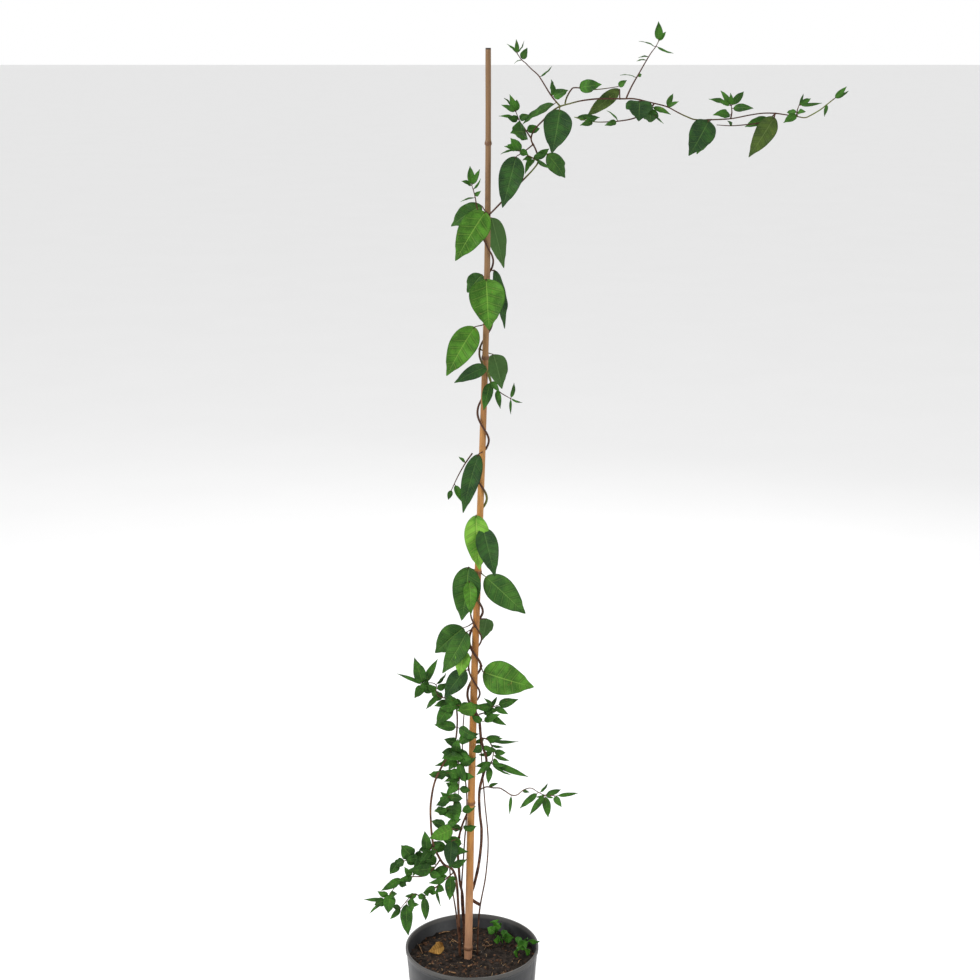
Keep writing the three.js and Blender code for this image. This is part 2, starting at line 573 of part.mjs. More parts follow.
// The stem's point nearest a leaf's base, where its petiole springs.
const stemCurves = Object.values(STEMS).map(({ points }) => curveOf(points));
function petioleRoot(base) {
  let best = null;
  for (const curve of stemCurves) {
    for (const point of curve.getPoints(600)) {
      const distance = point.distanceTo(vec(base));
      if (!best || distance < best.distance) best = { point, distance };
    }
  }
  return best.point.toArray();
}

function leafSolid([, base, tip, width, roll], grow) {
  const shape = { from: petioleRoot(base), base, tip, width, roll, thickness: LEAF_THICKNESS, rows: 5, grow };
  return leaf(shape);
}

add("nursery_pot", potSolid, finish(0x454547, 0.5));
add("bamboo_cane", caneSolid, finish(0xc98f4a, 0.55));
for (const name of Object.keys(STEMS)) {
  add(name, (grow) => stemSolid(name, grow), finish(0x4a3530, 0.75));
}
add("potting_soil", soilSolid, finish(0x231c19, 0.95));
for (const entry of LEAVES) {
  add(entry[0], (grow) => leafSolid(entry, grow), finish(SHADES[entry[5]], 0.5));
}
for (const [name, shoot] of Object.entries(SHOOTS)) {
  add(name, (grow) => shootSolid(shoot, grow), finish(SHADES.mid, 0.55));
}
for (const [name, seedling] of Object.entries(SEEDLINGS)) {
  add(name, (grow) => seedlingSolid(seedling, grow), finish(0x5a8a4e, 0.6));
}
add("fallen_leaf", (grow) => leaf({ ...FALLEN_LEAF, thickness: 1, rows: 4, grow }), finish(0xb58a45, 0.7));

const plant = new THREE.Group();
plant.name = "potted_honeysuckle";
for (const { name, solid, material } of placed) {
  const mesh = new THREE.Mesh(toGeometry(solid), material);
  mesh.name = name;
  plant.add(mesh);
}

export default plant;
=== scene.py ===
"""A potted climbing honeysuckle: nursery pot, bamboo cane, twining stems, leaves, side shoots and weeds."""
import math
import random

import bpy
import numpy as np
from bpy.props import FloatProperty, FloatVectorProperty, IntProperty, PointerProperty
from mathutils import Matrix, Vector, noise


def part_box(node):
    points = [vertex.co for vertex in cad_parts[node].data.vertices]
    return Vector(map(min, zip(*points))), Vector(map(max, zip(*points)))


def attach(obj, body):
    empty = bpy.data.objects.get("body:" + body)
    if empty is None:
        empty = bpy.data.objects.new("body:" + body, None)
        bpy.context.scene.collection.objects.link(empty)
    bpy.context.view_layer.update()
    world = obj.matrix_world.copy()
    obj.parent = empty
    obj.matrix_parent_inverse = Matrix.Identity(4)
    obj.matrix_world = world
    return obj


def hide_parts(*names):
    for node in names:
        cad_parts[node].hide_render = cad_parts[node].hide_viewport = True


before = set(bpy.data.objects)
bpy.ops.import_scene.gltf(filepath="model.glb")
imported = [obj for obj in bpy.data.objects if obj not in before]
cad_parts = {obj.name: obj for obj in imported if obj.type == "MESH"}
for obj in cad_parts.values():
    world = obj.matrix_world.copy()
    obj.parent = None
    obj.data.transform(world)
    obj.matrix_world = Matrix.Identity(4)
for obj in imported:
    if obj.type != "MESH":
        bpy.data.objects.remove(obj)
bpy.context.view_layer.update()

bl_info = {
    "name": "Potted climbing honeysuckle",
    "version": (1, 0, 0),
    "blender": (4, 5, 0),
    "location": "3D View > Sidebar > Honeysuckle",
    "description": "Builds a climbing honeysuckle on a bamboo cane in a round nursery pot",
    "category": "Add Mesh",
}

# ---------- The plant's plan, in millimetres, as the solid part has it ----------

MM = 0.001
POT_HIGH = Vector(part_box("nursery_pot")[1]) / MM
POT_HEIGHT = POT_HIGH.z
RIM_RADIUS = POT_HIGH.x
BASE_RADIUS = 71.0
LIP_HEIGHT = 5.0
LIP_PROUD = 1.2
POT_WALL = 1.6
POT_FLOOR = 2.5
SOIL_TOP = 122.0
SOIL_LUMP = 1.4
SOIL_TILT = 0.012

CANE_ROUTE = [[-7, 0, 24], [-5, 0, 122], [2.5, 0, 459], [13, 0, 760], [18.5, 0, 945],
  [20.2, 0, 1112], [20.3, 0, 1224]]
CANE_FOOT_RADIUS = 5.0
CANE_TOP_RADIUS = 3.0
CANE_JOINTS = (136, 331, 624, 880, 1121)
CANE_JOINT_SWELL = 0.9
TWINE_PITCH = 69.0
TWINE_FRONT = 455.0
TWINE_GAP = 0.6
TWINE_STEPS_A_TURN = 9

LEADER_FOOT = [
  [-3, 9, 116], [-2, 8, 160], [-1, 7, 202], [3, 8, 219], [8, 5, 244], [11, 3, 270], [12, 3, 293],
  [10, 4, 314], [9, 4, 333], [10, 5, 348], [14, 5, 365], [18, 3, 380], [17, 2, 392], [14, 1, 402],
    [11.5, 1, 415],
]
LEADER_ARCH = [
  [12, -2, 1024], [14, -7, 1036], [21, -9, 1043], [33, -8, 1055], [50, -4, 1072], [70, 2, 1092],
    [76, 4, 1102],
  [73, 4, 1114], [68, 2, 1125], [71, 2, 1135], [81, 2, 1146], [91, 1, 1156], [99, 0, 1161],
    [110, 2, 1164],
  [123, 5, 1167], [141, 8, 1169], [159, 10, 1169], [170, 9, 1169], [182, 6, 1169], [201, 2, 1165],
  [217, -2, 1161], [229, -4, 1155], [240, -4, 1150], [250, -3, 1147], [270, -1, 1147], [289, 0, 1148],
  [309, -2, 1152], [323, -3, 1154], [336, -5, 1154], [345, -8, 1153], [359, -14, 1151],
    [367, -18, 1150],
  [373, -22, 1153], [382, -26, 1159], [389, -28, 1165], [396, -30, 1171],
]
LEFT_STEM = [
  [-15, 6, 116], [-17, 2, 192], [-18, -2, 216], [-20, -6, 236], [-25, -12, 250], [-34, -16, 257],
    [-42, -18, 272],
  [-47, -20, 288], [-49, -20, 311], [-49, -19, 339], [-44, -17, 366], [-34, -13, 387], [-25, -9, 401],
  [-19, -7, 416], [-17, -5, 438], [-18, -3, 458],
]
BACK_FOOT = [
  [-9, 14, 116], [-11, 10, 188], [-12, 9, 206], [-15, 4, 223], [-16, 0, 247], [-17, -2, 265],
    [-16, -1, 283],
  [-12, 3, 299], [-7, 8, 310], [-2, 9.8, 322], [1, 9.5, 350], [2, 9.3, 385], [2, 9.2, 425],
]

PRUNED_STUB = [[-2, 8, 199], [3, 6, 196], [10, 3, 193]]
# Leaflets that grow straight from the leader: [place, tip, width, roll]
LEADER_LEAFLETS = [
  [[217, -2, 1161], [224, 2, 1175], 6, 0],
  [[217, -2, 1161], [229, -10, 1167], 5, 0],
  [[389, -28, 1165], [386, -30, 1152], 4, 0],
  [[396, -30, 1171], [408, -34, 1184], 6, 0],
  [[396, -30, 1171], [412, -26, 1179], 4, 30],
]

# Short growth on the leader's arch, part of the same piece
LEADER_TWIGS = [
  {
    "route": [[288, 0, 1148], [289, -1, 1155], [288, -2, 1162]],
    "leaflets": [
      [2, [262, -12, 1170], 7, 20], [2, [277, 8, 1178], 6, 0], [2, [286, -8, 1176], 5, 0],
      [2, [303, 10, 1177], 8, 0], [1.6, [311, -12, 1160], 9, 0], [0.6, [267, -14, 1153], 10, 10],
    ],
  },
  {
    "route": [[359, -14, 1151], [359, -13, 1157], [361, -12, 1163]],
    "leaflets": [
      [0.8, [349, -4, 1155], 6, 0], [0.8, [366, -26, 1157], 6, 0], [2, [367, -2, 1175], 3, 20],
      [2, [384, -24, 1166], 4, 20], [2, [375, -4, 1170], 6, 0], [0.5, [343, -24, 1145], 9, 0],
    ],
  },
]

# Leaves: [name, blade base, blade tip, width, roll, shade]
LEAVES = [
  ["crown_leaf_1", [51, -7, 1107], [36, -26, 1053], 27, 0, "dark"],
  ["crown_leaf_2", [99, -4, 1158], [90, -22, 1112], 31, 0, "dark"],
  ["crown_leaf_3", [86, 8, 1109], [107, 22, 1081], 19, 0, "mid"],
  ["arch_leaf_1", [166, 16, 1179], [130, 24, 1149], 15, 0, "olive"],
  ["arch_leaf_2", [187, -3, 1167], [185, -22, 1147], 30, 0, "dark"],
  ["arch_leaf_4", [263, -6, 1146], [240, -28, 1110], 28, 0, "dark"],
  ["arch_leaf_5", [265, 5, 1144], [253, 12, 1108], 17, 0, "mid"],
  ["arch_leaf_6", [335, -8, 1150], [306, -26, 1108], 22, 0, "olive"],
  ["upper_leaf_1", [17, -13, 1047], [-16, -38, 996], 33, 0, "bright"],
  ["upper_leaf_2", [13, 4, 1052], [-22, 12, 1028], 21, 0, "mid"],
  ["upper_leaf_3", [24, 9, 1038], [38, 28, 979], 22, 180, "under"],
  ["upper_leaf_4", [18, -13, 972], [21, -40, 919], 40, 0, "bright"],
  ["upper_leaf_5", [13, 10, 974], [-4, 18, 952], 20, 0, "mid"],
  ["upper_leaf_6", [27, 10, 979], [40, 24, 909], 15, -25, "dark"],
  ["upper_leaf_7", [5, -8, 917], [-27, -26, 864], 31, 0, "bright"],
  ["upper_leaf_8", [18, -13, 872], [-18, -30, 857], 16, 0, "dark"],
  ["upper_leaf_9", [26, 10, 882], [36, 20, 840], 25, 180, "under"],
  ["middle_leaf_1", [9, -13, 770], [-9, -26, 703], 21, 0, "dark"],
  ["middle_leaf_2", [6, -12, 697], [10, -24, 634], 29, 0, "lime"],
  ["middle_leaf_3", [14, -17, 683], [28, -42, 632], 25, 0, "dark"],
  ["middle_leaf_4", [17, -8, 621], [64, -22, 580], 32, 0, "mid"],
  ["middle_leaf_5", [-3, -8, 633], [-11, -24, 572], 33, 0, "mid"],
  ["middle_leaf_6", [-2, -16, 618], [0, -38, 584], 16, 0, "bright"],
  ["lower_leaf_1", [-9, -5, 557], [-43, -10, 527], 30, 0, "mid"],
  ["lower_leaf_2", [-5, -14, 555], [-34, -28, 508], 24, 0, "mid"],
  ["lower_leaf_3", [14, -9, 503], [74, -28, 491], 39, 0, "bright"],
  ["lower_leaf_4", [-8, -18, 533], [-14, -33, 507], 18, 0, "lime"],
  ["lower_leaf_5", [-7, -7, 505], [-32, -16, 473], 22, 0, "dark"],
  ["lower_leaf_6", [18, 11, 563], [13, 20, 533], 19, 180, "under"],
  ["lower_leaf_7", [6, -15, 460], [-17, -24, 460], 16, 0, "bright"],
  ["base_leaf_1", [-23, -18, 305], [-51, -30, 298], 18, 0, "bright"],
  ["base_leaf_2", [-24, -15, 288], [-26, -28, 258], 17, 0, "dark"],
]

# Side shoots: route from the parent stem, then leaflets as
# [place counted in route points, tip, width, roll]
SHOOTS = {
  "crown_shoot": {
    "route": [[99, 0, 1162], [91, 4, 1171], [85, 6, 1180], [80, 8, 1188], [75, 10, 1195],
      [68, 10, 1201], [61, 8, 1208],
      [57, 8, 1211], [52, 6, 1218]],
    "leaflets": [
      [1, [90, 10, 1190], 8, 40], [1, [108, -4, 1179], 11, 0], [0.4, [58, 20, 1141], 11, 30],
      [3.6, [91, 14, 1204], 3, 60], [7, [63, 2, 1224], 8, 0], [7, [49, 16, 1207], 3, 60],
      [8, [41, 14, 1228], 4, 40], [8, [51, 2, 1233], 5, 10], [8, [60, 12, 1231], 3, 70],
    ],
  },
  "hand_shoot": {
    "route": [[68, 2, 1126], [60, 4, 1138], [55, 5, 1145], [51, 6, 1155]],
    "leaflets": [
      [0.6, [45, -22, 1134], 22, 0], [2.2, [32, 0, 1151], 5, 30], [3, [35, -2, 1163], 6, 0], [3,
        [38, 10, 1170], 5, 40],
      [3, [44, 2, 1174], 7, 0], [3, [52, 12, 1168], 8, 0],
    ],
  },
  "crown_side_shoot": {
    "route": [[75, 4, 1102], [66, 0, 1107], [57, -3, 1112], [50, -3, 1114]],
    "leaflets": [
      [0.2, [89, -6, 1094], 5, 30], [0.4, [67, -12, 1097], 4, 0], [0.8, [61, -12, 1089], 6, 0],
      [2, [45, 0, 1127], 10, 0], [0.3, [88, 4, 1115], 9, 20], [3, [38, -2, 1118], 5, 30], [3,
        [34, -8, 1110], 3, 30],
    ],
  },
  "arc_shoot": {
    "route": [[105, 2, 1164], [107, 4, 1171], [112, 8, 1179], [117, 10, 1181], [136, 10, 1179],
      [150, 12, 1180],
      [164, 14, 1182]],
    "leaflets": [[3.1, [145, 2, 1185], 15, 0], [6, [173, 8, 1189], 7, 0]],
  },
  "arch_up_shoot": {
    "route": [[173, 8, 1170], [176, 8, 1177], [180, 9, 1185], [187, 10, 1197], [192, 10, 1206],
      [199, 8, 1218],
      [204, 6, 1225], [207, 5, 1231]],
    "leaflets": [
      [2.6, [165, 2, 1195], 3, 60], [2.7, [190, 16, 1195], 4, 20], [4.4, [183, 0, 1210], 3, 40],
      [4.7, [186, 18, 1213], 3, 40], [6, [186, 14, 1231], 3, 50], [6.1, [223, 0, 1218], 3, 50],
      [7, [206, 0, 1252], 9, 0], [7, [215, 8, 1241], 5, 0],
    ],
  },
  "arch_under_shoot": {
    "route": [[203, 1, 1164], [197, -3, 1156], [181, -8, 1149], [165, -10, 1146], [150, -10, 1145],
      [139, -10, 1145],
      [125, -8, 1147], [115, -6, 1150]],
    "leaflets": [
      [6.9, [144, 4, 1149], 6, 0], [5.2, [121, -20, 1142], 7, 0], [3.1, [151, 0, 1157], 3, 40],
      [3.2, [148, -22, 1142], 7, 0], [0.6, [213, -10, 1143], 3, 40], [0.4, [221, -8, 1153], 6, 0],
      [0.5, [200, 14, 1143], 17, 0],
    ],
  },
  "arch_low_twig": {
    "route": [[337, -4, 1154], [332, 4, 1148], [320, 5, 1143], [305, 5, 1141], [289, 4, 1140],
      [273, 2, 1141]],
    "leaflets": [[0.9, [306, 16, 1138], 10, 0], [3.9, [284, -6, 1146], 4, 0]],
  },
  "cane_side_shoot": {
    "route": [[14, -7, 1036], [8, -5, 1050], [6, -3, 1061], [4, -2, 1069], [2, -2, 1075]],
    "leaflets": [
      [4, [-9, -14, 1081], 6, 20], [4, [0, 4, 1096], 8, 0], [4, [11, -4, 1093], 6, 0], [3.2,
        [12, -10, 1083], 3, 40],
      [2.3, [12, -14, 1070], 5, 20], [2.1, [-11, 8, 1056], 3, 40],
    ],
  },
  "upper_small_shoot": {
    "route": [[18, -8, 869], [24, -11, 852], [34, -11, 842], [46, -8, 834]],
    "leaflets": [
      [0.8, [33, -22, 845], 7, 0], [0.8, [15, -24, 824], 12, 0], [1.6, [34, -20, 825], 7, 0],
      [3, [50, 0, 851], 5, 20], [3, [59, -16, 831], 3, 40], [3, [46, -14, 817], 3, 0],
    ],
  },
  "middle_shoot": {
    "route": [[2, -8, 770], [-6, -11, 759], [-14, -12, 745], [-22, -13, 728]],
    "leaflets": [[1, [-14, -4, 765], 4, 30], [3, [-26, -14, 716], 6, 0], [2.6, [-9, -17, 713], 8, 0]],
  },
  "mid_left_shoot": {
    "route": [[-18, -3, 456], [-27, -4, 466], [-38, -6, 471], [-42, -6, 478], [-42, -7, 486],
      [-49, -8, 489],
      [-57, -10, 487]],
    "leaflets": [
      [6, [-67, -18, 524], 15, 0], [6, [-40, 0, 516], 9, 0], [6, [-89, 2, 497], 5, 30], [6,
        [-67, -22, 475], 11, 0],
      [3, [-52, -16, 489], 9, 0], [2.2, [-54, -14, 458], 7, 20], [4, [-30, 6, 496], 5, 40],
      [0.5, [-42, -13, 438], 17, 0],
    ],
  },
  "right_twig": {
    "route": [[10, 5, 346], [18, 4, 350], [26, 1, 350], [34, -2, 351], [40, -3, 348], [48, -4, 343],
      [55, -4, 343],
      [63, -3, 349], [72, -2, 351], [81, -1, 345], [89, 0, 341], [103, 2, 339]],
    "leaflets": [
      [5, [46, -10, 320], 4, 0], [9, [58, -10, 328], 8, 20], [9.2, [93, 8, 353], 4, 30], [10,
        [109, 12, 343], 7, 0],
      [10, [70, -16, 322], 8, 10], [10, [93, -6, 314], 10, 0], [10.8, [109, -8, 329], 8, 0], [11,
        [130, 6, 341], 5, 0],
    ],
  },
  "right_low_shoot": {
    "route": [[11.5, 1, 415], [20, 4, 411], [26, 2, 399], [25, -2, 388], [22, -4, 381]],
    "leaflets": [
      [0.7, [37, -8, 418], 9, 0], [0.8, [57, 6, 408], 5, 20], [1.5, [39, 8, 400], 4, 30], [2.5,
        [46, 4, 384], 5, 0],
      [3, [34, -14, 388], 6, 0], [3.4, [69, -6, 367], 8, 0], [4, [20, -14, 362], 8, 0], [3.2,
        [6, -16, 374], 8, 0],
      [3.6, [48, -12, 372], 4, 30],
    ],
  },
  "right_mid_shoot": {
    "route": [[9, 4, 444], [17, 6, 446], [23, 5, 452], [31, 3, 456]],
    "leaflets": [
      [0.9, [42, -6, 434], 9, 0], [1.6, [22, -10, 441], 7, 0], [3, [56, -6, 467], 11, 0], [2.4,
        [15, -2, 467], 5, 20],
      [1.8, [31, 12, 464], 5, 0],
    ],
  },
  "inner_left_shoot": {
    "route": [[-22, -8, 408], [-17, -11, 394], [-14, -10, 377], [-15, -9, 362], [-16, -9, 345],
      [-19, -9, 331]],
    "leaflets": [
      [0.4, [-35, -20, 397], 12, 0], [0.8, [0, -20, 396], 13, 0], [0.6, [-16, -26, 424], 13, 0],
      [1, [-28, 2, 373], 8, 20], [1.3, [-7, -20, 366], 10, 0], [2.6, [-33, -14, 365], 7, 30],
      [3, [-31, -14, 347], 10, 0], [4, [-32, -6, 335], 6, 20], [4.3, [-18, -22, 313], 11, 0],
      [5, [-38, -10, 319], 10, 0],
    ],
  },
  "left_low_shoot_1": {
    "route": [[-46, -19, 286], [-52, -22, 277], [-61, -24, 271], [-71, -24, 270], [-82, -23, 265],
      [-89, -22, 263]],
    "leaflets": [
      [0.6, [-62, -36, 270], 11, 0], [1.2, [-57, -14, 300], 12, 0], [3, [-85, -26, 287], 18, 0],
      [5, [-99, -30, 251], 12, 0], [1.6, [-71, -38, 252], 11, 0],
    ],
  },
  "left_low_shoot_2": {
    "route": [[-38, -17, 264], [-47, -23, 254], [-58, -27, 247], [-73, -29, 247], [-84, -30, 246],
      [-90, -32, 239],
      [-98, -34, 228], [-104, -34, 219]],
    "leaflets": [
      [0.9, [-76, -42, 262], 16, 0], [0.6, [-55, -8, 268], 13, 0], [3, [-81, -38, 264], 8, 0],
      [3.1, [-88, -46, 250], 7, 0], [4, [-109, -42, 235], 10, 0], [6, [-101, -44, 206], 15, 0],
      [7, [-118, -36, 213], 11, 0], [7, [-131, -30, 217], 5, 0], [7, [-125, -28, 197], 4, 20],
    ],
  },
  "left_low_shoot_3": {
    "route": [[-22, -9, 243], [-32, -18, 238], [-43, -24, 231], [-53, -26, 224], [-61, -28, 219],
      [-69, -30, 225],
      [-77, -30, 218], [-86, -30, 206]],
    "leaflets": [
      [0.9, [-52, -32, 240], 8, 0], [2.8, [-58, -42, 232], 8, 0], [3.6, [-56, -32, 190], 10, 0],
      [2, [-38, -26, 206], 4, 30], [7, [-99, -38, 195], 7, 0], [7, [-97, -24, 205], 7, 0],
      [5.6, [-72, -38, 205], 8, 0], [6.3, [-77, -42, 175], 15, 0],
      [0.4, [-27, -24, 213], 13, 0],
    ],
  },
}

SEEDLINGS = {
  "seedling_back": {
    "foot": [30, 56, 127],
    "leaflets": [[[27, 62, 141], 13, 30], [[37, 60, 138], 10, 60]],
  },
  "seedling_middle": {
    "foot": [38, 36, 127],
    "leaflets": [[[33, 33, 131], 8, 30], [[44, 34, 132], 7, 50]],
  },
  "seedling_right": {
    "foot": [56, 8, 127],
    "leaflets": [[[72, -9, 137], 18, 40], [[70, 24, 137], 11, 60], [[84, -4, 147], 9, 40]],
  },
}
STUB_RADIUS = 2.0
FALLEN_LEAF = ([-36, 20, 128], [-54, 6, 127], 15, 0)

# Twigs and straws on the compost: x, y, length, turn in radians, radius
LITTER = (
    (-36, 65, 16, 0.6, 0.9), (-22, 42, 13, 2.2, 0.8), (43, -38, 15, 0.3, 0.5), (59, -11, 12, 1.2, 0.5),
    (-2, -21, 8, 0.9, 1.1), (-24, -38, 9, 2.7, 1.0), (-65, 22, 18, 1.9, 0.7), (20, 30, 12, 0.2, 0.6),
)

# Thinner growth that shows only in detail: stems as (route, radii), pairs as (count, length, width)
BARK_SHARE = 0.8
RUNNERS = {
    "back_stem": (
        ([[-6, 12, 116], [-13, 9, 196], [-10, 5, 260], [-6, 8, 330], [-11, 1, 400],
          [-8, -5, 462]], 1.1, 0.7),
        ([[-14, 8, 116], [-20, 6, 182], [-27, 1, 240], [-25, 0, 300], [-20, 2, 352],
          [-24, -3, 408]], 1.0, 0.6),
    ),
    "leader_stem": (
        ([[6, 9, 116], [9, 8, 180], [17, 4, 232], [20, 2, 280], [16, 3, 330], [13, 5, 372],
          [9, 7, 430]], 1.0, 0.7),
    ),
}
STEM_LEAFLETS = {
    "back_stem": ([[-10, -6, 268], [-13, -8, 330], [-17, -9, 400], [-15, -10, 470]], 9, 25, 13, 61),
    "left_stem": ([[-26, -14, 246], [-31, -15, 300], [-27, -14, 350], [-30, -12, 410]], 7, 22, 12, 67),
    "leader_stem": ([[12, -6, 396], [14, -6, 430], [12, -8, 470], [8, -10, 500]], 4, 20, 9, 71),
}
SHOOT_PAIRS = {
    "left_low_shoot_1": (5, 16, 11),
    "left_low_shoot_2": (5, 15, 9),
    "left_low_shoot_3": (5, 15, 8),
    "mid_left_shoot": (4, 20, 11),
    "inner_left_shoot": (5, 20, 11),
    "right_low_shoot": (3, 18, 7),
    "right_mid_shoot": (2, 20, 9),
    "right_twig": (3, 12, 4),
    "arch_under_shoot": (2, 12, 6),
    "hand_shoot": (2, 16, 9),
    "crown_side_shoot": (2, 14, 8),
}
# Rounder leaves of the weeds: (tip, width, turn in radians)
WEED_LEAVES = {
    "seedling_back": (([36, 48, 139], 15, -0.9), ([19, 52, 136], 11, 2.6)),
    "seedling_middle": (([52, 30, 134], 13, -0.4), ([27, 26, 132], 11, -2.2), ([44, 48, 134], 11, 1.0)),
    "seedling_right": (([52, -10, 134], 13, -1.9), ([70, 12, 137], 13, 0.3), ([60, 26, 137], 11, 1.3)),
}

# ---------- Paths and meshes ----------

UP = Vector((0, 0, 1))
PATH_STEP = 2.2
STALK_STEP = 1.2
STALK_SIDES = 6
WIDEST_AT = 0.36
LEAF_ARCH = 0.07
LEAF_FOLD = 0.16


def smooth_path(points, step=PATH_STEP):
    """A rounded run of points through the given ones, about one step apart."""
    given = [Vector(point) for point in points]
    padded = [given[0] * 2 - given[1], *given, given[-1] * 2 - given[-2]]
    run = []
    for i in range(len(given) - 1):
        a, b, c, d = padded[i : i + 4]
        count = max(1, round((c - b).length / step))
        for k in range(count):
            t = k / count
            square = (2 * a - 5 * b + 4 * c - d) * t * t
            cube = (3 * b - a - 3 * c + d) * t**3
            run.append(0.5 * (2 * b + (c - a) * t + square + cube))
    run.append(given[-1])
    return run


def route_point(route, place):
    """The point that is `place` route points along a route."""
    run = min(int(place), len(route) - 2)
    return Vector(route[run]).lerp(Vector(route[run + 1]), place - run)


CANE_PATH = smooth_path(CANE_ROUTE, 4)


def cane_at(z):
    """The cane's centre at height z, and its radius there."""
    heights = [point.z for point in CANE_PATH]
    x = float(np.interp(z, heights, [point.x for point in CANE_PATH]))
    share = (z - heights[0]) / (heights[-1] - heights[0])
    return x, CANE_FOOT_RADIUS + (CANE_TOP_RADIUS - CANE_FOOT_RADIUS) * share


def twine(from_z, to_z, stem_radius, turn_offset=0.0):
    """Points of a stem that winds clockwise round the cane, seen from above."""
    steps = round((to_z - from_z) / TWINE_PITCH * TWINE_STEPS_A_TURN)
    points = []
    for i in range(steps + 1):
        z = from_z + (to_z - from_z) * i / steps
        x, cane_radius = cane_at(z)
        radius = cane_radius + CANE_JOINT_SWELL + stem_radius + TWINE_GAP
        angle = -math.pi / 2 - 2 * math.pi * ((z - TWINE_FRONT) / TWINE_PITCH + turn_offset)
        points.append([x + radius * math.cos(angle), radius * math.sin(angle), z])
    return points


STEMS = {
    "leader_stem": (LEADER_FOOT + twine(438, 1007, 1.9) + LEADER_ARCH, 2.3, 0.8),
    "left_stem": (LEFT_STEM, 2.2, 1.3),
    "back_stem": (BACK_FOOT + twine(455, 590, 1.5, 0.5), 2.1, 1.1),
}
STEM_PATHS = {name: smooth_path(points) for name, (points, _, _) in STEMS.items()}
STEM_POINTS = [point for path in STEM_PATHS.values() for point in path]


def nearest_stem_point(base):
    """Where a leaf's stalk leaves the stems."""
    target = Vector(base)
    return min(STEM_POINTS, key=lambda point: (point - target).length)


class MeshMaker:
    """Collects vertices, faces and per-vertex marks in millimetres, and makes one mesh object in metres."""

    def __init__(self, name):
        self.name = name
        self.points = []
        self.faces = []
        self.marks = []

    def add(self, points, faces, marks=None):
        first = len(self.points)
        self.points.extend(tuple(point) for point in points)
        self.faces.extend(tuple(first + i for i in face) for face in faces)
        self.marks.extend(marks if marks is not None else [(0.0, 0.0, 0.0, 0.0)] * len(points))

    def make(self, *materials):
        mesh = bpy.data.meshes.new(self.name)
        mesh.from_pydata((np.array(self.points) * MM).tolist(), [], self.faces)
        marks = mesh.attributes.new("blade", "FLOAT_COLOR", "POINT")
        marks.data.foreach_set("color", np.array(self.marks, dtype=np.float32).ravel())
        for material in materials:
            mesh.materials.append(material)
        mesh.polygons.foreach_set("use_smooth", [True] * len(mesh.polygons))
        mesh.update()
        made = bpy.data.objects.new(self.name, mesh)
        bpy.context.collection.objects.link(made)
        return made


def stand_in(piece, slot_name, *nodes):
    """Puts a finished piece on the part's one body, in the place of its CAD nodes."""
    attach(piece, "root")
    if nodes:
        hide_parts(*nodes)


def ring_faces(first, second, count):
    """Quads between two rings of the same number of points."""
    return [
        (first + i, first + (i + 1) % count, second + (i + 1) % count, second + i)
        for i in range(count)
    ]


def add_tube(maker, path, radius_at, sides=10, ridge=0.0):
    """A closed tube along a path; ridge gives the bark its long shallow furrows."""
    points = []
    faces = []
    marks = []
    tangent = (path[1] - path[0]).normalized()
    across = tangent.orthogonal().normalized()
    last = len(path) - 1
    for i, centre in enumerate(path):
        before = path[max(0, i - 1)]
        after = path[min(last, i + 1)]
        tangent = (after - before).normalized()
        across = (across - tangent * across.dot(tangent)).normalized()
        up = tangent.cross(across)
        for k in range(sides):
            angle = 2 * math.pi * k / sides
            furrow = noise.noise(Vector((3 * math.cos(angle), 3 * math.sin(angle), i * 0.12)) + centre * 0.01)
            radius = radius_at(i / last) * (1 + ridge * furrow)
            points.append(centre + across * (radius * math.cos(angle)) + up * (radius * math.sin(angle)))
            marks.append((k / sides, 0.5, 0.0, 0.5))
        if i:
            faces.extend(ring_faces((i - 1) * sides, i * sides, sides))
    faces.append(tuple(reversed(range(sides))))
    faces.append(tuple(range(last * sides, (last + 1) * sides)))
    maker.add(points, faces, marks)


def taper(first, second):
    """A radius that runs evenly from the first to the second along a tube."""
    return lambda share: first + (second - first) * share


def add_stalk(maker, points, first, last):
    """A thin stalk through a few points."""
    add_tube(maker, smooth_path(points, STALK_STEP), taper(first, last), STALK_SIDES)


def blade_axes(base, tip, roll):
    """The length, direction, face normal and side direction of a blade."""
    along = Vector(tip) - Vector(base)
    length = along.length
    along.normalize()
    normal = Vector((0, -1, 0.3))
    normal = (normal - along * normal.dot(along)).normalized()
    turn = math.radians(roll)
    normal = normal * math.cos(turn) + along.cross(normal) * math.sin(turn)
    return length, along, normal, normal.cross(along)


def outline_at(t):
    """Half the width of a leaf at t along it, as a share of its widest width."""
    return 0.5 * math.sin(math.pi * t ** (math.log(0.5) / math.log(WIDEST_AT))) ** 0.85


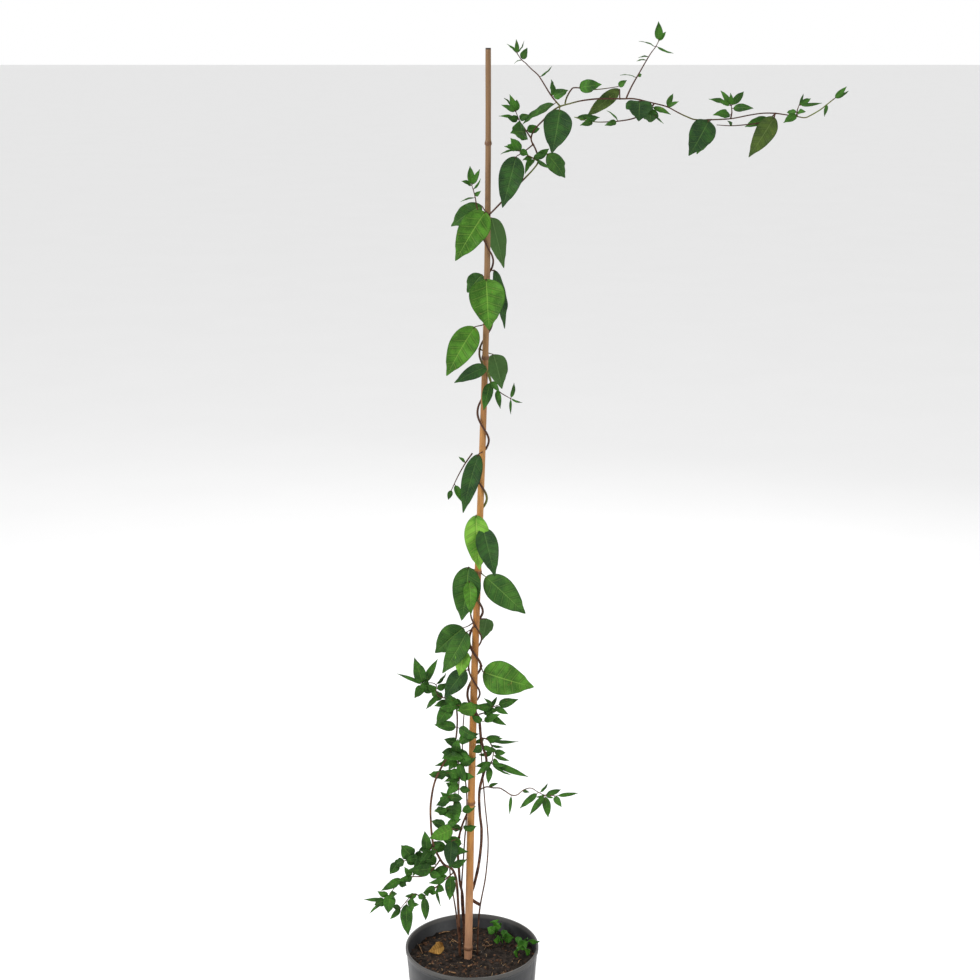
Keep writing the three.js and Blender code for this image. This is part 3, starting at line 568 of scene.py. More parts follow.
def add_blade(maker, base, tip, width, roll, rows, columns, style, seed):
    """A closed leaf blade with a sunk midrib, side veins, a wavy margin and a drooping tip."""
    length, along, normal, side = blade_axes(base, tip, roll)
    start = Vector(base)
    draw = random.Random(seed)
    phase = draw.uniform(0, 6.28)
    wave = style.wave * min(1.0, width / 20) * draw.uniform(0.7, 1.3)
    curl = draw.uniform(-0.25, 0.45)
    sway = draw.uniform(-0.02, 0.02) * length
    pairs = draw.uniform(5.5, 7.5)
    relief = style.relief * min(1.0, width / 22)
    thick = style.thickness * (1.0 if width > 12 else 0.75)
    sides = {1: [], -1: []}
    marks = {1: [], -1: []}
    for r in range(rows + 1):
        t = (r / rows) ** 1.05
        t = 0.004 + 0.992 * t
        half = max(width * outline_at(t), 0.25)
        tip_share = max(0.0, t - 0.8) / 0.2
        half *= 1 - 0.35 * tip_share * (1 - tip_share) * 2
        centre = start + along * (t * length) + side * (sway * math.sin(math.pi * t))
        centre += normal * (LEAF_ARCH * length * 4 * t * (1 - t))
        centre -= normal * (0.02 * length * t * t)
        for c in range(columns + 1):
            u = 2 * c / columns - 1
            reach = abs(u)
            fold = LEAF_FOLD * half * reach**1.6
            swing = math.sin(t * 11 + phase + (1.6 if u > 0 else 0)) + 0.5 * math.sin(t * 23 + phase * 2)
            margin = wave * swing * reach**2.2 * math.sin(math.pi * t) ** 0.5
            cupping = -curl * 0.09 * half * (1 - (2 * reach - 1) ** 2)
            turn = pairs * t - reach * (half / max(width, 1) + 0.35)
            vein = math.cos(2 * math.pi * turn)
            quilt = relief * (0.45 - 0.55 * max(0.0, vein) ** 3)
            quilt = quilt * min(1.0, 6 * (1 - reach)) * min(1.0, 5 * reach)
            rib = -relief * 1.5 * math.exp(-((reach * half / 0.55) ** 2)) * (1 - 0.8 * t)
            rise = fold + margin + cupping + quilt + rib
            point = centre + side * (u * half * (1 - 0.04 * math.cos(u * 2))) + normal * rise
            for face in (1, -1):
                body = thick * 0.5 * (1 - 0.6 * reach**6)
                belly = 0
                if face < 0:
                    belly = style.relief * 1.6 * math.exp(-((reach * half / 0.6) ** 2)) * (1 - 0.7 * t)
                sides[face].append(point + normal * (face * body - belly * min(1.0, width / 14)))
                marks[face].append((u * 0.5 + 0.5, t, 0.0 if face > 0 else 1.0, turn))
    stride = columns + 1
    total = stride * (rows + 1)
    faces = []
    for r in range(rows):
        for c in range(columns):
            a = r * stride + c
            faces.append((a, a + stride, a + stride + 1, a + 1))
            faces.append((total + a, total + a + 1, total + a + stride + 1, total + a + stride))
    rim = [c for c in range(stride)]
    rim += [r * stride + columns for r in range(1, rows + 1)]
    rim += [rows * stride + c for c in range(columns - 1, -1, -1)]
    rim += [r * stride for r in range(rows - 1, 0, -1)]
    for i, corner in enumerate(rim):
        after = rim[(i + 1) % len(rim)]
        faces.append((corner, after, total + after, total + corner))
    maker.add(sides[1] + sides[-1], faces, marks[1] + marks[-1])
    return start + along * (0.05 * length)


# ---------- Node helpers ----------


def linear(code):
    """A linear colour from a web colour code such as 4f8a38."""
    shares = [int(code[i : i + 2], 16) / 255 for i in (0, 2, 4)]
    return tuple(s / 12.92 if s <= 0.04045 else ((s + 0.055) / 1.055) ** 2.4 for s in shares)


def place(tree, kind, settings=None, inputs=None):
    """One node, with its inputs given as values or as the sockets that feed them."""
    node = tree.nodes.new(kind)
    for key, value in (settings or {}).items():
        setattr(node, key, value)
    for key, value in (inputs or {}).items():
        if isinstance(value, bpy.types.NodeSocket):
            tree.links.new(value, node.inputs[key])
        elif node.inputs[key].type == "RGBA" and len(value) == 3:
            node.inputs[key].default_value = (*value, 1.0)
        else:
            node.inputs[key].default_value = value
    return node


def maths(tree, operation, first, second=0.0, third=0.0, clamp=False):
    settings = {"operation": operation, "use_clamp": clamp}
    return place(tree, "ShaderNodeMath", settings, {0: first, 1: second, 2: third}).outputs[0]


def times(tree, value, share):
    """The value scaled by a share."""
    return maths(tree, "MULTIPLY", value, share)


def mix(tree, factor, first, second, blend="MIX"):
    settings = {"data_type": "RGBA", "blend_type": blend}
    return place(tree, "ShaderNodeMix", settings, {0: factor, 6: first, 7: second}).outputs[2]


def cover(tree, colour, mask, share, over):
    """The colour, with `over` laid on it where the mask is, up to that share."""
    return mix(tree, times(tree, mask, share), colour, over)


def between(tree, value, low, high, to_low=0.0, to_high=1.0):
    """The value's smooth share of the way from low to high."""
    inputs = {"Value": value, "From Min": low, "From Max": high, "To Min": to_low, "To Max": to_high}
    return place(tree, "ShaderNodeMapRange", {"interpolation_type": "SMOOTHSTEP"}, inputs).outputs[0]


def grain(tree, vector, scale, detail=3.0, roughness=0.55, stretch=(1.0, 1.0, 1.0)):
    """Noise of so many spots a metre, stretched where asked."""
    if stretch != (1.0, 1.0, 1.0):
        vector = place(tree, "ShaderNodeMapping", {}, {"Vector": vector, "Scale": stretch}).outputs[0]
    inputs = {"Vector": vector, "Scale": scale, "Detail": detail, "Roughness": roughness}
    return place(tree, "ShaderNodeTexNoise", {}, inputs).outputs["Fac"]


def place_in_object(tree):
    return place(tree, "ShaderNodeTexCoord").outputs["Object"]


def new_group(name, inputs, outputs):
    """An empty shader node group; inputs and outputs are (name, socket type, default)."""
    group = bpy.data.node_groups.new(name, "ShaderNodeTree")
    for title, kind, default in inputs:
        socket = group.interface.new_socket(title, in_out="INPUT", socket_type=kind)
        if default is not None:
            socket.default_value = default
    for title, kind in outputs:
        group.interface.new_socket(title, in_out="OUTPUT", socket_type=kind)
    return group, group.nodes.new("NodeGroupInput"), group.nodes.new("NodeGroupOutput")


def use_group(tree, name, inputs):
    node = tree.nodes.new("ShaderNodeGroup")
    node.node_tree = bpy.data.node_groups[name]
    for key, value in inputs.items():
        if isinstance(value, bpy.types.NodeSocket):
            tree.links.new(value, node.inputs[key])
        elif node.inputs[key].type == "RGBA":
            node.inputs[key].default_value = (*value, 1.0)
        else:
            node.inputs[key].default_value = value
    return node


def make_mottling_group():
    """Soft blotches and fine specks over a surface."""
    inputs = [
        ("Dark", "NodeSocketColor", None),
        ("Light", "NodeSocketColor", None),
        ("Blotches a Metre", "NodeSocketFloat", 60.0),
        ("Speck Strength", "NodeSocketFloat", 0.15),
    ]
    outputs = [("Color", "NodeSocketColor"), ("Blotch", "NodeSocketFloat"), ("Speck", "NodeSocketFloat")]
    group, given, out = new_group("Mottling", inputs, outputs)
    where = place_in_object(group)
    blotch = between(group, grain(group, where, given.outputs["Blotches a Metre"], 2.5), 0.36, 0.66)
    fine = times(group, given.outputs["Blotches a Metre"], 17.0)
    speck = between(group, grain(group, where, fine, 2.0), 0.42, 0.68)
    base = mix(group, blotch, given.outputs["Dark"], given.outputs["Light"])
    share = times(group, speck, given.outputs["Speck Strength"])
    shaded = mix(group, share, base, given.outputs["Light"], "OVERLAY")
    group.links.new(shaded, out.inputs["Color"])
    group.links.new(blotch, out.inputs["Blotch"])
    group.links.new(speck, out.inputs["Speck"])


def make_vein_group():
    """The midrib, side veins and fine net of a blade, from its blade marks."""
    outputs = [
        ("Midrib", "NodeSocketFloat"), ("Side Veins", "NodeSocketFloat"), ("Net", "NodeSocketFloat"),
        ("Margin", "NodeSocketFloat"), ("Under", "NodeSocketFloat"), ("Side Shade", "NodeSocketFloat"),
    ]
    inputs = [("Net Cells a Metre", "NodeSocketFloat", 620.0)]
    group, given, out = new_group("Leaf Veins", inputs, outputs)
    marks = place(group, "ShaderNodeAttribute", {"attribute_name": "blade"})
    parts = place(group, "ShaderNodeSeparateXYZ", {}, {0: marks.outputs["Vector"]})
    centred = maths(group, "SUBTRACT", times(group, parts.outputs[0], 2.0), 1.0)
    reach = maths(group, "ABSOLUTE", centred)
    taper_off = maths(group, "ADD", times(group, parts.outputs[1], -0.035), 0.065)
    midrib = between(group, maths(group, "DIVIDE", reach, taper_off), 1.0, 0.35)
    wave = maths(group, "COSINE", times(group, marks.outputs["Alpha"], math.tau))
    fade = between(group, reach, 1.0, 0.75)
    side_veins = times(group, between(group, wave, 0.86, 0.99), fade)
    cells = {"Vector": place_in_object(group), "Scale": given.outputs["Net Cells a Metre"]}
    net = place(group, "ShaderNodeTexVoronoi", {"feature": "DISTANCE_TO_EDGE"}, cells).outputs["Distance"]
    group.links.new(midrib, out.inputs["Midrib"])
    group.links.new(side_veins, out.inputs["Side Veins"])
    group.links.new(between(group, net, 0.16, 0.02), out.inputs["Net"])
    group.links.new(between(group, reach, 0.86, 0.99), out.inputs["Margin"])
    group.links.new(parts.outputs[2], out.inputs["Under"])
    # Side Shade: painted shade, strongest along the sunken side veins and fading between them
    shade = times(group, between(group, wave, -0.2, 1.0), fade)
    group.links.new(shade, out.inputs["Side Shade"])


def new_material(name, **constants):
    """A material whose Principled BSDF has these constant sockets set."""
    material = bpy.data.materials.new(name)
    material.use_nodes = True
    shader = material.node_tree.nodes["Principled BSDF"]
    for key, value in constants.items():
        shader.inputs[key.replace("_", " ")].default_value = value
    return material, material.node_tree, shader


def set_bump(tree, shader, height, strength, distance):
    inputs = {"Height": height, "Strength": strength, "Distance": distance}
    bump = place(tree, "ShaderNodeBump", {}, inputs)
    tree.links.new(bump.outputs[0], shader.inputs["Normal"])


def leaf_material(name, dark, light, vein, under, gloss, spotted=0.0):
    """A living leaf: mottled green, painted shade along the sunken side veins, paler veins and underside,
    darker margin, a few brown specks.
    """
    material, tree, shader = new_material(name, Specular_IOR_Level=0.14)
    veins = use_group(tree, "Leaf Veins", {})
    mottled = use_group(tree, "Mottling", {"Dark": dark, "Light": light, "Blotches a Metre": 55.0})
    colour = mottled.outputs["Color"]
    where = place_in_object(tree)
    netted = times(tree, veins.outputs["Net"], 0.16)
    colour = mix(tree, netted, colour, vein)
    # Painted shade: the leaf is darkened towards its sunken side veins, where the quilted relief would lie in
    # shade
    crease_shade = between(tree, veins.outputs["Side Shade"], 0.1, 0.9)
    crease_shade_colour = tuple(0.5 * share for share in dark)
    colour = cover(tree, colour, crease_shade, 0.4, crease_shade_colour)
    colour = cover(tree, colour, veins.outputs["Side Veins"], 0.22, vein)
    colour = cover(tree, colour, veins.outputs["Midrib"], 0.5, vein)
    rim = times(tree, veins.outputs["Margin"], 0.35)
    colour = mix(tree, rim, colour, tuple(0.55 * share for share in dark))
    below = mix(tree, times(tree, veins.outputs["Midrib"], 0.6), under, vein)
    below = mix(tree, times(tree, mottled.outputs["Blotch"], 0.25), below, light)
    colour = mix(tree, veins.outputs["Under"], colour, below)
    if spotted:
        spots = between(tree, grain(tree, where, 260.0, 1.0), 0.7, 0.76)
        colour = cover(tree, colour, spots, spotted, linear("8a6a3c"))
    tree.links.new(colour, shader.inputs["Base Color"])
    dull = times(tree, veins.outputs["Under"], 0.25)
    mat = times(tree, mottled.outputs["Speck"], 0.12)
    rough = maths(tree, "ADD", maths(tree, "ADD", dull, mat), gloss)
    tree.links.new(rough, shader.inputs["Roughness"])
    specks = times(tree, mottled.outputs["Speck"], 0.3)
    raised = maths(tree, "SUBTRACT", specks, veins.outputs["Net"])
    set_bump(tree, shader, raised, 0.35, 0.00018)
    return material


def bark_material(name, low, high, top, peel):
    """Twining stems: brown and furrowed at the foot, purple-brown higher, green where young."""
    material, tree, shader = new_material(name, Specular_IOR_Level=0.15)
    where = place_in_object(tree)
    height = place(tree, "ShaderNodeSeparateXYZ", {}, {0: where}).outputs[2]
    young = between(tree, height, 0.24, 0.62)
    mottled = use_group(tree, "Mottling", {"Dark": low, "Light": peel, "Blotches a Metre": 150.0})
    strips = between(tree, grain(tree, where, 900.0, 3.0, 0.6, (1.0, 1.0, 0.12)), 0.4, 0.7)
    greens = between(tree, grain(tree, where, 14.0, 1.0), 0.54, 0.66)
    upper = mix(tree, greens, high, top)
    colour = mix(tree, young, mottled.outputs["Color"], upper)
    colour = cover(tree, colour, strips, 0.35, peel)
    tree.links.new(colour, shader.inputs["Base Color"])
    tree.links.new(between(tree, strips, 0.0, 1.0, 0.5, 0.75), shader.inputs["Roughness"])
    set_bump(tree, shader, strips, 0.5, 0.0003)
    return material


def bamboo_material(name, tan, pale, worn, ring):
    """A dry bamboo cane: long fibres, a dark ring at each joint, greyer and browner near the top, and painted
    shade on the sawn hollow top.
    """
    material, tree, shader = new_material(name, Specular_IOR_Level=0.4)
    where = place_in_object(tree)
    parts = place(tree, "ShaderNodeSeparateXYZ", {}, {0: where})
    height = parts.outputs[2]
    fibres = between(tree, grain(tree, where, 1500.0, 4.0, 0.6, (1.0, 1.0, 0.03)), 0.36, 0.66)
    patches = between(tree, grain(tree, where, 40.0, 3.0, 0.6, (1.0, 1.0, 0.3)), 0.4, 0.64)
    colour = mix(tree, patches, tan, pale)
    colour = cover(tree, colour, between(tree, height, 0.6, 1.05), 0.8, worn)
    colour = cover(tree, colour, between(tree, height, 0.26, 0.15), 0.5, linear("c9a08c"))
    colour = cover(tree, colour, fibres, 0.3, ring)
    for joint in CANE_JOINTS:
        gap = maths(tree, "ABSOLUTE", maths(tree, "SUBTRACT", height, joint * MM))
        near = between(tree, gap, 0.0032, 0.0012)
        colour = cover(tree, colour, near, 0.75, ring)
    scuffs = between(tree, grain(tree, where, 420.0, 3.0, 0.7, (1.0, 1.0, 0.2)), 0.6, 0.72)
    colour = cover(tree, colour, scuffs, 0.5, linear("4d3a2c"))
    # Painted shade: the sawn top and the upper wall of its hollow are darkened to stand in for the shade
    # inside the hollow
    painted_hollow_shade = between(tree, height, 1.2215, 1.2235)
    colour = mix(tree, painted_hollow_shade, colour, linear("2e2620"))
    tree.links.new(colour, shader.inputs["Base Color"])
    tree.links.new(between(tree, fibres, 0.0, 1.0, 0.38, 0.6), shader.inputs["Roughness"])
    set_bump(tree, shader, maths(tree, "SUBTRACT", fibres, scuffs), 0.35, 0.0003)
    return material


def pot_material(name, plastic, faded, dust):
    """Satin moulded polypropylene, faded in patches, with dust on the lip and splashes of compost."""
    material, tree, shader = new_material(name, Specular_IOR_Level=0.28)
    where = place_in_object(tree)
    height = place(tree, "ShaderNodeSeparateXYZ", {}, {0: where}).outputs[2]
    mottled = use_group(tree, "Mottling", {"Dark": plastic, "Light": faded, "Blotches a Metre": 18.0})
    streaks = between(tree, grain(tree, where, 90.0, 4.0, 0.6, (1.0, 1.0, 0.15)), 0.5, 0.75)
    colour = mix(tree, times(tree, streaks, 0.35), mottled.outputs["Color"], faded)
    specks = between(tree, grain(tree, where, 700.0, 2.0, 0.5), 0.68, 0.78)
    colour = cover(tree, colour, specks, 0.4, dust)
    lip = between(tree, height, 0.1335, 0.1375)
    colour = cover(tree, colour, lip, 0.45, dust)
    foot = times(tree, between(tree, height, 0.022, 0.0), 0.35)
    colour = mix(tree, foot, colour, linear("5b5149"))
    tree.links.new(colour, shader.inputs["Base Color"])
    tree.links.new(between(tree, streaks, 0.0, 1.0, 0.36, 0.52), shader.inputs["Roughness"])
    pitted = grain(tree, where, 2400.0, 2.0, 0.5)
    set_bump(tree, shader, pitted, 0.14, 0.0002)
    return material


def compost_material(name, dark, light, blotches, rough=0.92):
    """Damp peat and bark: coarse blotches, fine crumbs and a few pale specks."""
    material, tree, shader = new_material(name, Specular_IOR_Level=0.25)
    where = place_in_object(tree)
    mottled = use_group(
        tree, "Mottling", {"Dark": dark, "Light": light, "Blotches a Metre": blotches, "Speck Strength": 0.5}
    )
    pale = between(tree, grain(tree, where, blotches * 6, 2.0), 0.7, 0.78)
    colour = mix(tree, times(tree, pale, 0.5), mottled.outputs["Color"], linear("8d7458"))
    tree.links.new(colour, shader.inputs["Base Color"])
    dull = between(tree, mottled.outputs["Blotch"], 0.0, 1.0, rough, rough - 0.2)
    tree.links.new(dull, shader.inputs["Roughness"])
    set_bump(tree, shader, grain(tree, where, blotches * 4, 5.0, 0.7), 0.8, 0.0012)
    return material


# ---------- Sizes and colours that a user may change ----------


class HoneysucklePot(bpy.types.PropertyGroup):
    lip_proud: FloatProperty(
        name="Lip Proud", description="How far the lip stands out", default=LIP_PROUD
    )
    wall: FloatProperty(
        name="Wall", description="Thickness of the pot's wall in millimetres", default=POT_WALL
    )
    plastic: FloatVectorProperty(
        name="Plastic", description="Colour of the pot", subtype="COLOR", default=linear("242426")
    )
    compost: FloatVectorProperty(
        name="Compost", description="Colour of damp compost", subtype="COLOR", default=linear("17120e")
    )
    crumbs: IntProperty(
        name="Crumbs", description="Crumbs on each square decimetre of compost", default=1500
    )


class HoneysuckleCane(bpy.types.PropertyGroup):
    swell: FloatProperty(
        name="Joint Swell", description="How proud a joint stands, in millimetres", default=0.9
    )
    tan: FloatVectorProperty(
        name="Cane", description="Colour of the cane's lower half", subtype="COLOR", default=linear("a86d2c")
    )
    worn: FloatVectorProperty(
        name="Weathered Cane",
        description="Colour of the cane's upper half",
        subtype="COLOR",
        default=linear("66543c"),
    )


class HoneysucklePlant(bpy.types.PropertyGroup):
    thickness: FloatProperty(
        name="Leaf Thickness", description="In millimetres", default=0.42, min=0.1
    )
    relief: FloatProperty(
        name="Vein Relief", description="Depth of the side veins in millimetres", default=0.5
    )
    wave: FloatProperty(
        name="Wavy Margin", description="Height of the margin's waves in millimetres", default=1.7
    )
    furrows: FloatProperty(
        name="Bark Furrows", description="Depth, as a share of the radius", default=0.22
    )


class HoneysuckleStage(bpy.types.PropertyGroup):
    key_light: FloatProperty(
        name="Key Light", description="Power of the main light", default=56.0, unit="POWER"
    )
    fill_light: FloatProperty(
        name="Fill Light", description="Power of the side light", default=14.0, unit="POWER"
    )
    sky: FloatProperty(name="Sky", description="Strength of the white surroundings", default=0.84)


SETTINGS = {
    "honeysuckle_pot": HoneysucklePot,
    "honeysuckle_cane": HoneysuckleCane,
    "honeysuckle_plant": HoneysucklePlant,
    "honeysuckle_stage": HoneysuckleStage,
}

# Each leaf finish: dark green, light green, vein, underside, gloss, brown specks
LEAF_FINISHES = {
    "dark": ("18341a", "2c5220", "587a3c", "3f5a34", 0.5, 0.0),
    "mid": ("22481a", "3a6422", "6a8e40", "456238", 0.5, 0.0),
    "bright": ("2a5412", "487c22", "7ea444", "4c6a38", 0.5, 0.25),
    "lime": ("467c20", "72a638", "a8c860", "648448", 0.54, 0.3),
    "olive": ("2c4218", "465a22", "6a7e44", "52623e", 0.54, 0.6),
    "under": ("2f5526", "46703a", "6c8a54", "405c30", 0.56, 0.0),
    "shoot": ("183c10", "376a1c", "64883c", "486638", 0.5, 0.2),
    "weed": ("265c14", "468222", "78a048", "507844", 0.5, 0.0),
}


def leaf_finish(shade):
    *colours, gloss, specks = LEAF_FINISHES[shade]
    return leaf_material(f"{shade}_leaf_finish", *(linear(code) for code in colours), gloss, specks)


def material_of(name, make):
    """The material of that name, made the first time that it is asked for."""
    return bpy.data.materials.get(name) or make()


def bark():
    colours = (linear(code) for code in ("36201a", "40291f", "5c6a2c", "6e4c38"))
    return material_of("bark_finish", lambda: bark_material("bark_finish", *colours))


def shaded(shade):
    return material_of(f"{shade}_leaf_finish", lambda: leaf_finish(shade))


def tint(piece, first_face, index):
    """Gives every face from first_face on the material of that index."""
    for polygon in piece.data.polygons[first_face:]:
        polygon.material_index = index


# ---------- Operators ----------


def soil_lumps(x, y):
    lump = math.sin(0.19 * x + 1) * math.cos(0.23 * y) + 0.6 * math.sin(0.41 * x + 0.33 * y)
    return SOIL_TOP + SOIL_LUMP * lump + SOIL_TILT * x


def add_lathe(maker, profile, segments):
    """A closed shell turned about the Z axis; the profile starts and ends on it."""
    points = [Vector((0, 0, profile[0][1]))]
    faces = []
    for radius, z in profile[1:-1]:
        for k in range(segments):
            angle = 2 * math.pi * k / segments
            points.append(Vector((radius * math.cos(angle), radius * math.sin(angle), z)))
    points.append(Vector((0, 0, profile[-1][1])))
    rings = len(profile) - 2
    for k in range(segments):
        faces.append((0, 1 + (k + 1) % segments, 1 + k))
        last = 1 + (rings - 1) * segments
        faces.append((len(points) - 1, last + k, last + (k + 1) % segments))
    for r in range(rings - 1):
        faces.extend(ring_faces(1 + r * segments, 1 + (r + 1) * segments, segments))
    maker.add(points, faces)


class HONEYSUCKLE_OT_pot(bpy.types.Operator):
    """Turn the nursery pot, with its rolled lip, stacking step and moulded foot."""

    bl_idname = "honeysuckle.pot"
    bl_label = "Nursery Pot"

    def execute(self, context):
        sizes = context.scene.honeysuckle_pot
        step = POT_HEIGHT - LIP_HEIGHT
        wall_top = RIM_RADIUS - sizes.lip_proud
        outer = [(BASE_RADIUS - 9, 0.0), (BASE_RADIUS - 3, 0.0), (BASE_RADIUS - 0.7, 0.7), (BASE_RADIUS, 2.4)]
        for k in range(1, 30):
            share = k / 30
            z = 2.4 + (step - 2.4) * share
            moulded = 0.12 * math.sin(z * 1.1) if 100 < z < 128 else 0.0
            outer.append((BASE_RADIUS + (wall_top - BASE_RADIUS) * share + moulded, z))
        lip = [
            (wall_top, step), (RIM_RADIUS - 0.5, step + 0.1), (RIM_RADIUS, step + 0.7),
            (RIM_RADIUS, step + 2.4),
            (RIM_RADIUS - 0.15, step + 2.7), (RIM_RADIUS, step + 3.0), (RIM_RADIUS, POT_HEIGHT - 0.7),
            (RIM_RADIUS - 0.3, POT_HEIGHT - 0.15), (RIM_RADIUS - 0.9, POT_HEIGHT),
            (wall_top - sizes.wall + 0.5, POT_HEIGHT), (wall_top - sizes.wall, POT_HEIGHT - 0.5),
        ]
        inner = [(BASE_RADIUS - sizes.wall, POT_FLOOR + 1), (BASE_RADIUS - sizes.wall - 1, POT_FLOOR)]
        under = [(0, 1.2), (BASE_RADIUS - 12, 1.2), (BASE_RADIUS - 9.6, 0.9)]
        maker = MeshMaker("nursery_pot_shell")
        add_lathe(maker, under + outer + lip + inner + [(0, POT_FLOOR)], 160)
        plastic = pot_material("pot_plastic", tuple(sizes.plastic), linear("313234"), linear("5f5c58"))
        stand_in(maker.make(plastic), "pot_plastic", "nursery_pot")
        return {"FINISHED"}


def crumb_tree():
    """Scatters lumpy crumbs over a surface, turned and sized at random."""
    tree = bpy.data.node_groups.new("Compost Crumbs", "GeometryNodeTree")
    sockets = {}
    wanted = [
        ("Surface", "NodeSocketGeometry", None), ("Density", "NodeSocketFloat", 1000.0),
        ("Smallest", "NodeSocketFloat", 0.4), ("Largest", "NodeSocketFloat", 1.6),
        ("Length", "NodeSocketVector", (1.0, 1.0, 1.0)), ("Seed", "NodeSocketInt", 1),
        ("Material", "NodeSocketMaterial", None),
    ]
    for title, kind, default in wanted:
        socket = tree.interface.new_socket(title, in_out="INPUT", socket_type=kind)
        if default is not None:
            socket.default_value = default
        sockets[title] = socket.identifier
    tree.interface.new_socket("Crumbs", in_out="OUTPUT", socket_type="NodeSocketGeometry")
    given = tree.nodes.new("NodeGroupInput").outputs
    out = tree.nodes.new("NodeGroupOutput")
    scatter = place(
        tree, "GeometryNodeDistributePointsOnFaces", {},
        {"Mesh": given["Surface"], "Density": given["Density"], "Seed": given["Seed"]},
    )
    ball = place(tree, "GeometryNodeMeshIcoSphere", {}, {"Radius": 1.0, "Subdivisions": 1})
    spun = place(
        tree, "FunctionNodeRandomValue", {"data_type": "FLOAT_VECTOR"},
        {"Min": (-0.5, -0.5, 0.0), "Max": (0.5, 0.5, 6.28), "Seed": given["Seed"]},
    )
    sized = place(
        tree, "FunctionNodeRandomValue", {"data_type": "FLOAT"},
        {2: given["Smallest"], 3: given["Largest"], "Seed": given["Seed"]},
    )
    squashed = place(
        tree, "ShaderNodeVectorMath", {"operation": "SCALE"}, {0: given["Length"], "Scale": sized.outputs[1]}
    )
    copies = place(
        tree, "GeometryNodeInstanceOnPoints", {},
        {
            "Points": scatter.outputs["Points"], "Instance": ball.outputs["Mesh"],
            "Rotation": spun.outputs[0], "Scale": squashed.outputs[0],
        },
    )
    solid = place(tree, "GeometryNodeRealizeInstances", {}, {0: copies.outputs[0]})
    where = tree.nodes.new("GeometryNodeInputPosition").outputs[0]
    rough = place(tree, "ShaderNodeTexNoise", {}, {"Vector": where, "Scale": 900.0, "Detail": 2.0})
    offset = {0: rough.outputs["Color"], 1: (0.5, 0.5, 0.5)}
    centred = place(tree, "ShaderNodeVectorMath", {"operation": "SUBTRACT"}, offset)
    shift = {0: centred.outputs[0], "Scale": 0.0016}
    moved = place(tree, "ShaderNodeVectorMath", {"operation": "SCALE"}, shift)
    lumpy = place(
        tree, "GeometryNodeSetPosition", {}, {"Geometry": solid.outputs[0], "Offset": moved.outputs[0]}
    )
    coated = place(
        tree, "GeometryNodeSetMaterial", {}, {"Geometry": lumpy.outputs[0], "Material": given["Material"]}
    )
    tree.links.new(coated.outputs[0], out.inputs[0])
    return tree, sockets


def scatter_on(source, name, tree, sockets, values):
    """A new mesh object: what the tree scatters over a copy of the source."""
    carrier = bpy.data.objects.new(name, source.data.copy())
    bpy.context.collection.objects.link(carrier)
    modifier = carrier.modifiers.new(name, "NODES")
    modifier.node_group = tree
    for title, value in values.items():
        modifier[sockets[title]] = value
    evaluated = carrier.evaluated_get(bpy.context.evaluated_depsgraph_get())
    mesh = bpy.data.meshes.new_from_object(evaluated)
    carrier.modifiers.remove(modifier)
    bpy.data.objects.remove(carrier)
    mesh.name = name
    made = bpy.data.objects.new(name, mesh)
    bpy.context.collection.objects.link(made)
    return made


class HONEYSUCKLE_OT_compost(bpy.types.Operator):
    """Fill the pot with lumpy compost and scatter crumbs, bark chips and fibres over it."""

    bl_idname = "honeysuckle.compost"
    bl_label = "Compost"

    def execute(self, context):
        look = context.scene.honeysuckle_pot
        edge = RIM_RADIUS - LIP_PROUD - POT_WALL - 1.6
        rings = 34
        segments = 120
        maker = MeshMaker("compost_bed")
        points = [Vector((0, 0, POT_FLOOR + 1))]
        rows = [(BASE_RADIUS - 5, POT_FLOOR + 1), (edge - 0.9, SOIL_TOP - 4)]
        top = [(edge * (1 - r / rings) ** 0.9, None) for r in range(rings)]
        for radius, z in rows + top:
            for k in range(segments):
                angle = 2 * math.pi * k / segments
                x, y = radius * math.cos(angle), radius * math.sin(angle)
                rough = 0.9 * noise.noise(Vector((x, y, 3)) * 0.32)
                rough += 0.5 * noise.noise(Vector((x, y, 7)) * 0.9)
                points.append(Vector((x, y, soil_lumps(x, y) + rough if z is None else z)))
        points.append(Vector((0, 0, soil_lumps(0, 0))))
        faces = []
        count = len(rows) + len(top)
        for r in range(count - 1):
            faces.extend(ring_faces(1 + r * segments, 1 + (r + 1) * segments, segments))
        last = 1 + (count - 1) * segments
        for k in range(segments):
            faces.append((0, 1 + (k + 1) % segments, 1 + k))
            faces.append((len(points) - 1, last + k, last + (k + 1) % segments))
        maker.add(points, faces)
        peat = compost_material("compost", tuple(look.compost), linear("34281f"), 170.0)
        bed = maker.make(peat)
        surface = MeshMaker("compost_surface")
        first = 1 + len(rows) * segments
        shell = [ring_faces(k * segments, (k + 1) * segments, segments) for k in range(len(top) - 1)]
        surface.add(points[first:last + segments], [face for ring in shell for face in ring])
        carrier = surface.make()
        chips = compost_material("bark_chips", linear("2b1b12"), linear("644329"), 260.0, 0.8)
        straw = compost_material("straw_fibres", linear("8a6b45"), linear("bfa27a"), 420.0, 0.75)
        grit = compost_material("pale_grit", linear("6b5f54"), linear("b5aba0"), 500.0, 0.8)
        tree, sockets = crumb_tree()
        density = look.crumbs * 100.0
        scatters = [
            ("compost_crumbs", density, 0.0003, 0.0011, (1.0, 0.8, 0.7), 3, peat),
            ("compost_bark_chips", density * 0.12, 0.0005, 0.0019, (2.2, 1.0, 0.45), 11, chips),
            ("compost_fibres", density * 0.02, 0.0006, 0.0014, (4.5, 0.26, 0.26), 23, straw),
            ("compost_grit", density * 0.012, 0.0003, 0.0008, (1.0, 0.9, 0.8), 31, grit),
        ]
        stand_in(bed, "compost", "potting_soil")
        for name, many, smallest, largest, length, seed, material in scatters:
            values = {
                "Density": many, "Smallest": smallest, "Largest": largest, "Length": length,
                "Seed": seed, "Material": material,
            }
            stand_in(scatter_on(carrier, name, tree, sockets, values), "compost")
        bpy.data.objects.remove(carrier)
        return {"FINISHED"}


